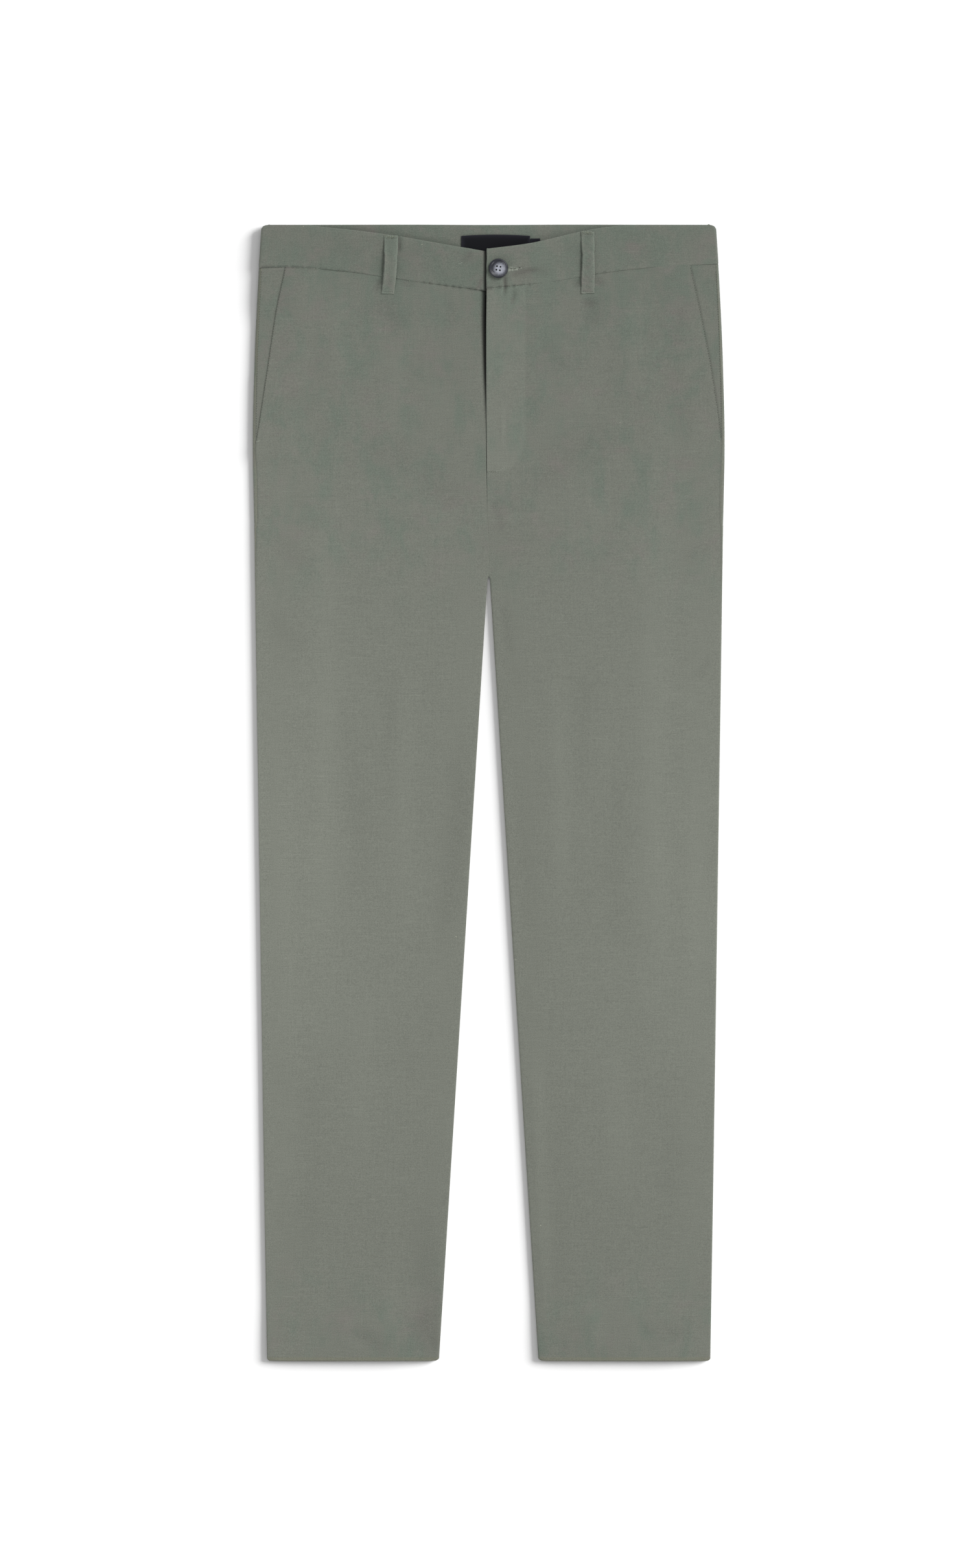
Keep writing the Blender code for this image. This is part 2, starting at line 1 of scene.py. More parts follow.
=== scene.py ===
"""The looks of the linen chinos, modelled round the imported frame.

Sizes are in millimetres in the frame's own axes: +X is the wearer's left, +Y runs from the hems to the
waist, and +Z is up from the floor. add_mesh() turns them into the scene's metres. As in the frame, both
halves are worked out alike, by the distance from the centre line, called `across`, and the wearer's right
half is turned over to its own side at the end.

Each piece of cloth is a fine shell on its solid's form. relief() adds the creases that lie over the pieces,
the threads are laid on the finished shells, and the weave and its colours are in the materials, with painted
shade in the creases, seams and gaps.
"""

import math

import bmesh
import bpy
import numpy as np
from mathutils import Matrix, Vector
from mathutils.bvhtree import BVHTree


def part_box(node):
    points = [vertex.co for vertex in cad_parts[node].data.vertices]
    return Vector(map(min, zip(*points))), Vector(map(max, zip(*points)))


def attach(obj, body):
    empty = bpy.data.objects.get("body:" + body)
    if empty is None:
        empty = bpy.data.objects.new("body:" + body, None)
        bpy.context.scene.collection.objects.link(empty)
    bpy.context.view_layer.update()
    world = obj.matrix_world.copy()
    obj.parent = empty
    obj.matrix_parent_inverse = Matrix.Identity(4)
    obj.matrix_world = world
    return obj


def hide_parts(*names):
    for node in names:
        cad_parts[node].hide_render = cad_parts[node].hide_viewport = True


MILLIMETRE = 0.001

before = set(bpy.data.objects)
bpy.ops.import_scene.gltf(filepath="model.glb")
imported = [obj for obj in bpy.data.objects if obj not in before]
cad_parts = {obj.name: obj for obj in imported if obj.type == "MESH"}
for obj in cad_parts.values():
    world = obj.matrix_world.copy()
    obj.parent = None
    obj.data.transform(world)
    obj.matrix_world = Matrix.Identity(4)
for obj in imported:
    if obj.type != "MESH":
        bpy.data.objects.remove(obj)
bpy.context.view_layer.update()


def node_box(node):
    """A CAD node's lowest and highest corner in millimetres."""
    low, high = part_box(node)
    return np.array(low) / MILLIMETRE, np.array(high) / MILLIMETRE


# ---- The garment's form, as its solids have it. ----

HEM_Y = node_box("front_panel_left")[0][1]
WAIST_Y = node_box("waistband_left")[1][1]
CLOTH = 1.0
HEM_CLOTH = 1.5
FLY_CLOTH = 1.6
BAND_CLOTH = 1.8
LOOP_CLOTH = 1.3
LOOP_PRESSED = 0.8
LOOP_SEAT = 0.12
SEAM_GAP = 0.3

CROTCH_Y = 200.4
CROTCH_BLEND = 1.2
CROTCH_BLUNT = 0.9
CROTCH_BLUNT_DEPTH = 2.5
FLY_END_Y = 297.4
POCKET_END_Y = 326.0
MOUTH_BLEND = 6.0
MOUTH_ACROSS = 190.0
SIDE_ACROSS = 212.0
HEM_DEPTH = 20.0
INNER_LEG_AT_HEM = 46.0
HEM_CORNER = 2.5
HEM_CORNER_OUTER_INSET = 2.0
HEM_CORNER_INNER_INSET = 3.0

EDGE_HEIGHT = 3.0
HEM_EDGE_HEIGHT = 4.0
LEG_PUFF = 2.2
HIP_PUFF = 2.7
WAIST_PUFF = 1.6
WAIST_LIFT = 1.5
WAIST_LIFT_Y = (430.0, 462.0)
WAIST_PUFF_Y = (420.0, 465.0)
BODY_SETS_IN_Y = (CROTCH_Y - 10.0, FLY_END_Y)

FLY_WIDTH = 36.0
FLY_STEP = 2.55
FLY_STEP_FADES = 76.0
FLY_STEP_FULL_Y = 465.0

POCKET_STEP = CLOTH + SEAM_GAP
POCKET_UNDERLAP = 15.0
POCKET_LAP_FLAT = 20.0
POCKET_LAP_FADES = 45.0
POCKET_LAP_Y = (297.0, 317.0)

BAND_MIDDLE_Y = 505.0
BAND_FLARE_ACROSS = (150.0, 200.0)
BAND_CORNER = 5.0
BAND_UNDERLAP = 34.0

HEIGHT_AND_HALF_WIDTH = (
    (-526.2, 205.2), (-346.0, 208.2), (-106.0, 211.8), (110.0, 215.1), (230.0, 216.9),
    (326.0, 218.7), (398.0, 217.2), (470.0, 213.9), (526.2, 210.4),
)
HEIGHT_AND_SIDE_SEAM_INSET = (
    (60.0, 0.0), (180.0, 0.7), (238.0, 1.4), (256.0, 2.9), (285.0, 3.5), (326.0, 2.7), (400.0, 2.3),
    (487.0, 2.0),
)
HEIGHT_AND_FLY_EDGE = (
    (200.0, 0.0), (222.0, 0.2), (263.0, -1.5), (297.0, -2.0), (432.0, -2.4), (470.0, -2.0),
    (506.0, -2.0),
)
HEIGHT_AND_FLY_GAP = (
    (200.0, 0.3), (340.0, 0.3), (400.0, 1.6), (432.0, 3.0), (466.0, 3.2),
)
ACROSS_AND_WAIST_SEAM_Y = {
    "right": ((0.0, 464.8), (40.0, 469.9), (100.0, 478.8), (136.0, 483.6), (188.0, 487.0), (212.0, 486.4)),
    "left": ((0.0, 467.4), (43.0, 471.6), (100.0, 480.8), (130.0, 484.9), (164.0, 488.0), (212.0, 490.4)),
}
ACROSS_AND_BAND_TOP_Y = {
    "right": ((0.0, 501.4), (44.0, 508.8), (98.0, 517.8), (140.0, 522.8), (180.0, 526.2), (211.0, 526.2)),
    "left": ((0.0, 504.4), (38.0, 509.3), (84.0, 519.6), (112.0, 524.4), (140.0, 526.2), (211.0, 526.2)),
}
HEIGHT_AND_POCKET_MOUTH = {
    "right": ((326.0, 215.3), (344.0, 212.5), (391.2, 205.2), (449.4, 196.3), (486.9, 188.2)),
    "left": ((326.0, 215.9), (355.2, 212.3), (400.5, 205.2), (437.4, 198.0), (490.0, 186.6)),
}
ACROSS_AND_BAND_UNDERSIDE = {
    "right": ((0.0, 4.9), (60.0, 4.9), (130.0, 4.7), (212.0, 4.6)),
    "left": ((0.0, 7.0), (36.0, 7.0), (56.0, 5.9), (76.0, 4.8), (130.0, 4.7), (212.0, 4.6)),
}

# A front belt loop's middle at its top and foot, (across, height), and its widths there.
FRONT_LOOPS = {
    "right": ((90.6, 516.2), (93.6, 462.3), 13.2, 11.8),
    "left": ((91.5, 520.0), (91.5, 462.8), 12.8, 12.6),
}
# How far a loop stands off, bows towards the wearer's left, and narrows between its ends.
LOOP_ARCH = {"right": 1.7, "left": 0.8}
LOOP_BOW = {"right": 1.1, "left": 0.5}
LOOP_PINCH = {"right": 0.02, "left": 0.09}
LOOP_MEETS_BAND = (0.15, 0.25)
LOOP_FOOT_STITCH = 0.03
LOOP_TOP_STITCH = {"right": 0.955, "left": 0.90}
# How much higher its edge on the wearer's right stands, how far its edges roll down, how deep its stitches
# dent it and how broadly, and between which shares of its height it narrows.
LOOP_TILT = 0.5
LOOP_ROLL = 0.18
LOOP_SEWN = 0.25
LOOP_FOOT_DENT = 0.014
LOOP_TOP_DENT = 0.018
LOOP_PINCHED = (0.3, 0.7)
# How much thinner a back loop is than its solid.
LOOP_PRESSED_IN = 0.2
# A loop's unevenness: its length and how far apart its sides lie in the waves, and the waves of its sides,
# its ends and its face, with their seed, wavelengths and height.
LOOP_RUN = 50.0
LOOP_SIDES_APART = 40.0
LOOP_SIDE_WAVES = (22, (5.0, 18.0), 0.30)
LOOP_END_WAVES = (23, (5.0, 12.0), 0.20)
LOOP_FACE_WAVES = (21, (3.0, 12.0), 0.17)

# ---- What the looks add to it. ----

# Creases: from, to, how far the middle bows to the left of the way, half breadth, and height. On the fronts
# and the waistband a crease's height also paints shade on the cloth: darker in a trough, lighter on a ridge.
FRONT_CREASES = (
    # The wearer's right leg.
    ((-153, 299), (-158, -217), 3, 16, 0.55),
    ((-186, 40), (-183, -236), -4, 11, 0.35),
    ((-75, 118), (-79, -118), -2, 10, 0.50),
    ((-97, 122), (-94, 4), 2, 8, -0.28),
    ((-26, 48), (-47, -146), 5, 12, -0.80),
    ((-132, 66), (-121, -96), 4, 12, -0.35),
    ((-110, -190), (-118, -352), -5, 13, 0.40),
    ((-168, -262), (-172, -440), 4, 12, -0.35),
    ((-209, -340), (-206, -512), 0, 9, 0.45),
    ((-64, -380), (-58, -506), 4, 14, -0.70),
    ((-131, -497), (-96, -520), 2, 7, -0.50),
    ((-92, -448), (-84, -516), -3, 8, 0.35),
    ((-66, -480), (-48, -524), 1, 16, -0.90),
    ((-208, 236), (-160, 196), 4, 8, -0.45),
    ((-206, 166), (-170, 134), -3, 9, -0.45),
    ((-200, 92), (-142, 70), 3, 7, 0.30),
    # The wearer's left leg.
    ((152, 284), (157, -217), -3, 16, 0.55),
    ((186, 30), (184, -220), 4, 10, 0.35),
    ((85, 120), (82, 2), 2, 8, -0.28),
    ((65, 122), (67, -118), -2, 9, 0.50),
    ((32, 20), (46, -176), -5, 12, -0.30),
    ((13, 176), (19, 126), -1, 6, -0.50),
    ((122, 40), (116, -150), -4, 12, -0.35),
    ((108, -210), (116, -372), 4, 14, 0.40),
    ((170, -250), (166, -420), -4, 12, -0.35),
    ((43, -230), (50, -500), 0, 9, 0.60),
    ((92, -470), (98, -518), 3, 8, 0.35),
    ((132, -500), (186, -506), 3, 7, -0.35),
    ((214, 232), (172, 208), -3, 7, -0.45),
    ((205, 126), (188, 104), 1, 4.5, -0.55),
    ((196, 76), (150, 92), -3, 8, 0.30),
    # The seat and the hips.
    ((-202, 487), (-188, 444), -2, 9, -0.60),
    ((-104, 459), (-84, 424), 3, 10, -0.70),
    ((-140, 470), (-136, 380), -3, 9, 0.45),
    ((-89, 430), (-92, 326), 3, 10, 0.40),
    ((-40, 462), (-34, 426), 1, 6, -0.45),
    ((-120, 330), (-24, 262), 5, 16, -0.50),
    ((-60, 372), (-14, 330), 3, 9, 0.30),
    ((92, 461), (100, 430), -2, 9, -0.80),
    ((178, 458), (170, 412), 2, 7, -0.50),
    ((133, 462), (128, 372), 3, 10, 0.45),
    ((50, 420), (72, 388), -3, 8, -0.50),
    ((116, 344), (30, 268), -5, 15, -0.45),
    ((160, 360), (150, 268), -3, 11, 0.35),
    ((3, 272), (10, 240), 1.5, 5, -0.50),
    ((-3, 236), (-9, 206), -1, 5, -0.40),
    # The fly, and the puckers under the button.
    ((1, 404), (31, 401.5), 1.5, 2.6, -0.32),
    ((12, 366), (12.4, 316), 0.4, 2.2, 0.32),
    ((15.4, 366), (15.6, 322), 0.4, 1.8, -0.18),
    ((14, 480), (14, 461), 0.4, 1.3, -2.20),
    ((23.4, 467), (19.6, 453), 0.8, 2.2, -1.40),
    ((17, 478), (46, 484.6), 0.8, 2, -1.50),
    ((20, 480), (56, 482), 1.5, 5, -0.60),
    # Beside and below the belt loops.
    ((77, 471.5), (86, 472.5), 0, 2.8, -1.30),
    ((97.5, 476), (105, 470.5), 0.5, 3.2, -1.20),
    ((85, 455), (98, 453.5), -0.5, 3.4, -1.10),
    ((-82.6, 520.5), (-83.2, 500), 0.2, 1.1, -1.90),
    ((-82, 473), (-70, 470), 0.5, 2.6, -0.90),
    ((-101, 476), (-106, 464), 0.5, 3.4, -1.20),
    ((-6, 477), (-11, 464.5), 0.5, 1.8, -1.40),
    ((-16, 502), (-27, 491), 1, 3.2, -1.20),
    ((60, 504), (88, 500), 1, 5, -0.28),
    ((-60, 500), (-84, 496), -1, 5, -0.28),
    ((118, 505), (150, 498), 2, 6, -0.30),
    ((-120, 500), (-150, 506), 2, 6, -0.25),
)
# The back lies on the floor, so its creases are folds that rise off it.
BACK_CREASES = (
    ((-150, 250), (-158, -180), 5, 15, 0.60),
    ((-70, 110), (-82, -140), -4, 12, 0.55),
    ((-120, -60), (-112, -330), 5, 13, 0.50),
    ((-170, -240), (-176, -450), -4, 12, 0.40),
    ((-62, -370), (-70, -500), 4, 14, 0.55),
    ((-30, 210), (-150, 160), 8, 12, 0.60),
    ((-26, 236), (-120, 262), -7, 13, 0.50),
    ((-58, 430), (-66, 320), 4, 12, 0.50),
    ((-150, 440), (-142, 350), -4, 11, 0.45),
    ((152, 262), (160, -200), -5, 15, 0.60),
    ((68, 96), (78, -120), 4, 12, 0.55),
    ((118, -40), (110, -300), -5, 13, 0.50),
    ((172, -270), (168, -430), 4, 12, 0.40),
    ((66, -400), (72, -506), -4, 14, 0.55),
    ((28, 204), (140, 172), -8, 12, 0.60),
    ((24, 230), (112, 274), 7, 13, 0.50),
    ((60, 436), (64, 330), -4, 12, 0.50),
    ((146, 420), (140, 330), 4, 11, 0.45),
)

# Where a crease sets in and dies away, as shares of its length.
CREASE_RISES = (-0.12, 0.3)
CREASE_FALLS = (0.7, 1.12)
# The cloth's unevenness: the seed, wavelengths and height of its waves.
FRONT_WAVES = ((5, (70.0, 160.0), 0.20), (6, (22.0, 48.0), 0.05))
BACK_WAVES = ((15, (70.0, 160.0), 0.12), (16, (22.0, 48.0), 0.03))
BACK_LIES_OFF = 0.18
LABEL_WAVES = (31, (14.0, 40.0), 0.06)
# How far in from the outline the relief sets in and is at its full height, and where the back's ends.
FRONT_RELIEF_FROM = (1.5, 9.0)
BACK_RELIEF_FROM = (2.0, 12.0)
BACK_RELIEF_ENDS_Y = (440.0, 480.0)
LEG_ENDS_Y = (CROTCH_Y - 20.0, CROTCH_Y)
# What a seam draws up beside itself: the ripples' reach, pitch, height and seed.
WAIST_PUCKER = (5.0, 11.0, 0.10, 7)
HEM_PUCKER = (6.0, 13.0, 0.09, 8)
POCKET_PUCKER = (4.0, 12.0, 0.07, 9)
POCKET_PUCKER_Y = (POCKET_END_Y - 8.0, POCKET_END_Y + 8.0)
FLY_PUCKER = (4.0, 10.0, 0.07, 10)

# The pressed hem swells the leg so gently that no step shows.
HEM_FADES_Y = (HEM_Y + 8.0, HEM_Y + 70.0)
# The waist seam is pressed shut in some stretches, and stands open as a fine line in others.
ACROSS_AND_SEAM_CLOSING = {
    "right": ((0, 0.40), (54, 0.45), (72, 0.88), (100, 0.92), (128, 0.72), (160, 0.60), (212, 0.52)),
    "left": ((0, 0.45), (30, 0.40), (54, 0.92), (90, 0.92), (100, 0.60), (126, 0.78), (190, 0.92)),
}
SIDE_CLOSES = 0.42
CENTRE_CLOSES = 0.3
CENTRE_CLOSES_Y = (222.0, 312.0)
GAP_CLOSES = 2.3
GAP_DIP = 1.9
GAP_DIP_FADES = 3.0
GAP_DIP_Y = (340.0, 420.0)
BAND_DIP = 1.0
BAND_DIP_ACROSS = 2.6
BAND_DIP_FADES = 1.8
# The front is thinned by its pressed edge at the pocket's mouth, and the facing comes up close behind it.
MOUTH_LIFT = 0.85
MOUTH_CLOTH = 0.35
MOUTH_CLOTH_FADES = 24.0
FACING_END_Y = 318.0
MOUTH_THINS_Y = (FACING_END_Y - 12.0, FACING_END_Y)
BACK_MEETS = 0.9

FLY_SETS_IN_Y = (FLY_END_Y - 1.0, FLY_END_Y + 4.0)
FLY_FACING_RAISES = 0.28
FLY_FACING_EDGE = (-1.6, 1.2)
FLY_DOUBLED_FROM = (-4.0, -2.0)
FLY_STITCH_X = 33.0
FLY_STITCH_CURVE_X = 8.0
FLY_STITCH_CURVE_TOP_Y = 334.0
FLY_STITCH_TOP_Y = 412.0
FLY_STITCH_END_X = -1.5
BUTTONHOLE_X = (17.0, 30.4)
# How far up the waistband the buttonhole lies, and its half breadth, as shares of the waistband's height.
BUTTONHOLE_STEP = 0.44
BUTTONHOLE_BREADTH = 0.009
BUTTONHOLE_DEPTH = 1.2
# The left half's front end: how far it laps over the fly's edge, slants and wobbles. Then how far the
# waistband's top and foot roll down, and over which shares of its height.
BAND_END_LAP = 0.35
BAND_END_SLANT = 0.5
BAND_END_WOBBLE = 0.12
BAND_END_RATE = 19.0
BAND_TOP_ROLL = 0.3
BAND_TOP_ROLL_STEPS = (0.93, 1.0)
BAND_FOOT_ROLL = 0.2
BAND_FOOT_ROLL_STEPS = (0.0, 0.05)
# The waistband's rows from its foot (0) to its top (1): first, last and count. They crowd at the buttonhole.
BAND_ROWS = (
    (0.0, 0.0, 1),
    (0.015, 0.035, 2),
    (0.06, 0.39, 10),
    (BUTTONHOLE_STEP - 0.024, BUTTONHOLE_STEP + 0.024, 9),
    (0.49, 0.86, 12),
    (0.88, 1.0, 9),
)
LABEL_CLOTH = 0.6
LABEL_PRESSED_IN = 0.3
LABEL_FOLD_RAISES = 0.18
LABEL_FOLD_ENDS = (2.2, 3.2)
# The shield steps down beside the fly's gap, and sinks below the zip where that lies over it.
SHIELD_CLOTH = 0.8
SHIELD_DROP = 0.4
SHIELD_DROPS_X = (-7.5, -5.5)
SHIELD_SINKS_X = (-10.0, 1.0)
FLY_PIECE_PITCH = 2.0
# The zip's tape and coil, how deep they lie under the fly, and how much of the tape's ends is bare.
TAPE_CLOTH = 0.5
TAPE_DEPTH = 0.4
TOOTH_DEPTH = 0.35
TOOTH_PITCH = 1.1
TOOTH_REACH = (-0.7, 1.9)
TOOTH_RADIUS = 0.38
ZIP_END = 4.0
# The button's profile: radius and height, from its middle below, round the rim, to its middle above.
BUTTON_PROFILE = (
    (0.4, 0.0), (6.6, 0.0), (7.9, 0.25), (8.6, 0.7), (8.93, 1.25), (9.0, 1.75), (8.88, 2.25), (8.55, 2.66),
    (8.1, 2.88), (7.6, 2.82), (7.2, 2.58), (6.85, 2.28), (6.45, 2.05), (5.9, 1.92), (4.6, 1.82), (0.4, 1.76),
)
BUTTON_TURN = -10.0
BUTTON_SIDES = 96
BUTTON_CREASE = 40.0
HOLE_PROFILE = ((0.82, -1.0), (0.82, 1.5), (1.12, 2.3))
HOLE_OFFSET = 1.65
# Not a divisor of BUTTON_SIDES: with one, a hole's edges can fall on the button's own.
HOLE_SIDES = 26

# How finely the cloths are divided. Most of these hold what spaced() takes: the length, the pitch, and the
# pitch and the number of steps at both ends. FRONT_COLUMNS holds each stretch's end and its pitch.
FRONT_PITCH = 2.9
FRONT_COLUMNS = ((2.7, 0.45), (150.0, FRONT_PITCH), (187.3, 1.3), (190.0, 0.45))
HIP_ROWS = (155.0, 2.2, 0.6, 5)
BACK_PITCH = 3.4
BACK_HIP_PITCH = 3.0
BACK_COLUMNS = (195.0, 3.0, 0.5, 8)
FACING_ROWS = (165.0, 2.0, 0.6, 4)
FACING_COLUMNS = (22.0, 0.55, 0.45, 2)
LOOP_ROWS = (0.7, 0.35, 3)
LOOP_COLUMNS = (0.6, 0.3, 3)
BACK_LOOP_PITCH = 1.1
BAND_FRONT_COLUMNS = (214.0, 1.3, 0.5, 5)
BAND_BACK_COLUMNS = (205.0, 3.0, 1.0, 3)
BAND_EDGE_STEPS = 12

# What each point of a cloth is marked with for its material: how much lighter its edge is (wear, and on the
# belt loops a painted highlight), how deep it lies in a crease (in millimetres), which paints shade in the
# crease, and how dark the painted shade is there in a gap, a seam or a crevice (0 to 1).
WEAR_AND_HIGHLIGHT = "wear_and_highlight"
WEAR_AND_HIGHLIGHT_REACH = 1.6
CREASE_SHADE = "crease_shade"
PAINTED_SHADE = "painted_shade"
# The painted shade in the fly's gap and beside the waistband's end: how dark, where it sets in, and how far
# it fades.
GAP_DARK = 0.90
GAP_DARK_Y = (325.0, 400.0)
GAP_SOFT = 2.3
BAND_GAP_SOFT = 1.2
# How dark the shield is painted, as the shade in the fly's gap.
SHIELD_DARK = 0.85
# The painted shade along the pocket's mouth, on the front and on the facing, and along the side seam.
MOUTH_DARK = 0.24
FACING_MOUTH_DARK = 1.4 * MOUTH_DARK
SIDE_DARK = 0.26
SIDE_DARK_Y = (150.0, 238.0)
# The painted shade in the waist seam where it stands open, and the seam's closing over which it fades.
SEAM_DARK = 0.5
SEAM_CLOSES = (0.5, 0.9)
# The painted shade along a front belt loop's edge on the wearer's right, where it stands off the waistband.
LOOP_DARK = 0.5
LOOP_DARK_FROM = (0.42, 0.5)
LOOP_DARK_AT_ENDS = 0.4
LINE_FADES = 0.5
# The dots of the seam's painted shade: the seed, wavelengths, height and count of their waves, and their
# values at a dot's edge.
SEAM_DOTS = (12, (2.2, 7.0), 1.0, 8)
DOT_EDGES = (-0.5, 0.7)
# How much lighter and less brown the cloth over the fly is painted, through the mark of the creases' shade.
FLY_LIGHTER = 0.9
OVER, UNDER = 1.0, -1.0


def smooth(start, end, value):
    """0 up to start, 1 from end on, and an even curve between them."""
    part = np.clip((value - start) / (end - start), 0.0, 1.0)
    return part * part * (3.0 - 2.0 * part)


def mix(first, second, part):
    return first + (second - first) * part


def hump(half_breadth, away):
    """1 where away is 0, falling off evenly to both sides."""
    return np.exp(-((away / half_breadth) ** 2))


def through(table):
    """A curve through a table's rows that is level at its peaks, so it never passes a row's value."""
    places, values = np.array(table).T
    slopes = np.diff(values) / np.diff(places)
    product = slopes[1:] * slopes[:-1]
    level_peak = product <= 0.0
    both = np.where(level_peak, 1.0, slopes[1:] + slopes[:-1])
    inner = np.where(level_peak, 0.0, 2.0 * product / both)
    tangents = np.concatenate([slopes[:1], inner, slopes[-1:]])

    def value_at(place):
        place = np.clip(place, places[0], places[-1])
        index = np.clip(np.searchsorted(places, place, side="right") - 1, 0, len(slopes) - 1)
        length = places[index + 1] - places[index]
        part = (place - places[index]) / length
        return (
            values[index] * (1.0 + 2.0 * part) * (1.0 - part) ** 2
            + values[index + 1] * part * part * (3.0 - 2.0 * part)
            + length * tangents[index] * part * (1.0 - part) ** 2
            - length * tangents[index + 1] * part * part * (1.0 - part)
        )

    return value_at


half_width = through(HEIGHT_AND_HALF_WIDTH)
side_seam_inset = through(HEIGHT_AND_SIDE_SEAM_INSET)
fly_edge = through(HEIGHT_AND_FLY_EDGE)
fly_gap = through(HEIGHT_AND_FLY_GAP)


class Half:
    """The wearer's left or right half of the garment, with the lines that are its own."""

    def __init__(self, name):
        self.name = name
        self.sign = 1.0 if name == "left" else -1.0
        self.waist_seam = through(ACROSS_AND_WAIST_SEAM_Y[name])
        self.band_top = through(ACROSS_AND_BAND_TOP_Y[name])
        self.pocket_mouth = through(HEIGHT_AND_POCKET_MOUTH[name])
        self.band_underside = through(ACROSS_AND_BAND_UNDERSIDE[name])
        self.seam_closing = through(ACROSS_AND_SEAM_CLOSING[name])

    def front_edge(self, height):
        """The front panel's edge at the centre: the seam, and above the fly's end the lap."""
        closing = mix(-CENTRE_CLOSES, SEAM_GAP / 2.0, smooth(*CENTRE_CLOSES_Y, height))
        seam = closing + self.sign * fly_edge(height)
        gap = fly_gap(height) - GAP_CLOSES * smooth(*GAP_DIP_Y, height)
        lap = fly_edge(height) if self.name == "left" else gap - fly_edge(height)
        return np.where(height < FLY_END_Y, seam, lap)

    def panel_top(self, across):
        return self.waist_seam(across) + self.seam_closing(across)

    def band_foot(self, across):
        return self.waist_seam(across) - self.seam_closing(across)

    def fly_raise(self, across, height):
        """How far the left half stands above the right one's level."""
        if self.name == "right":
            return 0.0
        inward = 1.0 - smooth(FLY_WIDTH, FLY_STEP_FADES, across)
        return FLY_STEP * smooth(FLY_END_Y, FLY_STEP_FULL_Y, height) * inward

    def points(self, across, height, level):
        return np.stack(np.broadcast_arrays(self.sign * across, height, level), -1)


def inner_edge(height):
    """The leg's inner edge, and the centre line above the crotch."""
    below = np.maximum(CROTCH_Y - height, 0.0)
    blunt = CROTCH_BLUNT * smooth(0.0, CROTCH_BLUNT_DEPTH, below)
    return blunt + (INNER_LEG_AT_HEM - CROTCH_BLUNT) * below / (CROTCH_Y - HEM_Y)


def gap_dip(x, height):
    """How far the right half's cloth sinks beside the fly's gap."""
    away = np.maximum(-(fly_gap(height) - fly_edge(height)) - x, 0.0)
    return GAP_DIP * np.exp(-away / GAP_DIP_FADES) * smooth(*GAP_DIP_Y, height)


def gap_painted_shade(across, height):
    """Painted shade in the fly's gap, which fades out softly over the right half's cloth."""
    away = across + fly_edge(height)
    gap = fly_gap(height)
    return GAP_DARK * smooth(*GAP_DARK_Y, height) * (1.0 - smooth(0.25 * gap, gap + GAP_SOFT, away))


def fine_line(away):
    """1 on a line, falling off within a thread's breadth to both sides."""
    return np.exp(-np.abs(away) / LINE_FADES)


def waist_seam_painted_shade(half, across, height):
    """The painted shade of the waist seam: a dark dotted line, which fades where the seam is pressed shut."""
    across = np.abs(across)
    dotted = smooth(*DOT_EDGES, waves(half.sign * across, np.zeros_like(across), *SEAM_DOTS))
    open_here = 1.0 - smooth(*SEAM_CLOSES, half.seam_closing(across))
    return SEAM_DARK * dotted * open_here * fine_line(height - half.waist_seam(across))


def leg_outline(height, inner):
    """The edge of the garment's outline, on the leg's inner or outer side, with the hem's soft corners."""
    corner = 1.0 - smooth(HEM_Y, HEM_Y + HEM_CORNER, height)
    if inner:
        return inner_edge(height) + HEM_CORNER_INNER_INSET * corner
    return half_width(height) - HEM_CORNER_OUTER_INSET * corner


def underside(height):
    return WAIST_LIFT * smooth(*WAIST_LIFT_Y, height)


def edge_height(height):
    """How thick the garment is at its side edges, which the hem's fold makes thicker."""
    return mix(HEM_EDGE_HEIGHT, EDGE_HEIGHT, smooth(*HEM_FADES_Y, height))


def above_crotch(height):
    """0 on the legs and 1 above the crotch, where the two halves meet at the centre line."""
    return smooth(CROTCH_Y - CROTCH_BLEND, CROTCH_Y + CROTCH_BLEND, height)


def tube_top(half, across, height):
    """The level of the front's outer face, and of the pocket facing where the front laps over it."""
    outer = leg_outline(height, False) - edge_height(height) / 2.0
    inner = inner_edge(height)
    part = np.clip((across - inner) / (outer - inner), 0.0, 1.0)
    leg = LEG_PUFF * (1.0 - np.abs(2.0 * part - 1.0) ** 3)
    body = mix(HIP_PUFF, WAIST_PUFF, smooth(*WAIST_PUFF_Y, height))
    body = body * (1.0 - np.clip(across / outer, 0.0, 1.0) ** 3)
    puff = mix(leg, body, smooth(*BODY_SETS_IN_Y, height))
    return underside(height) + edge_height(height) + puff + half.fly_raise(across, height)


def side_top(half, across, height):
    """The pocket facing's outer face, which the back's edge meets at the side seam."""
    return tube_top(half, across, height) + MOUTH_LIFT * smooth(*POCKET_LAP_Y, height)


def front_top(half, across, height):
    """The front panel's outer face."""
    inward = half.pocket_mouth(height) - across
    near_mouth = 1.0 - smooth(POCKET_LAP_FLAT, POCKET_LAP_FADES, inward)
    return tube_top(half, across, height) + POCKET_STEP * near_mouth * smooth(*POCKET_LAP_Y, height)


def band_top_level(half, across):
    return half.band_underside(np.abs(across)) + BAND_CLOTH


def side_seam(height):
    """How far round the side edge the seam lies: at its middle on the legs, and on the front at the hips."""
    radius = edge_height(height) / 2.0
    inset = side_seam_inset(height)
    on_edge = math.pi / 2.0 * (radius + inset)
    return np.where(inset < radius, on_edge, math.pi * radius + inset - radius)


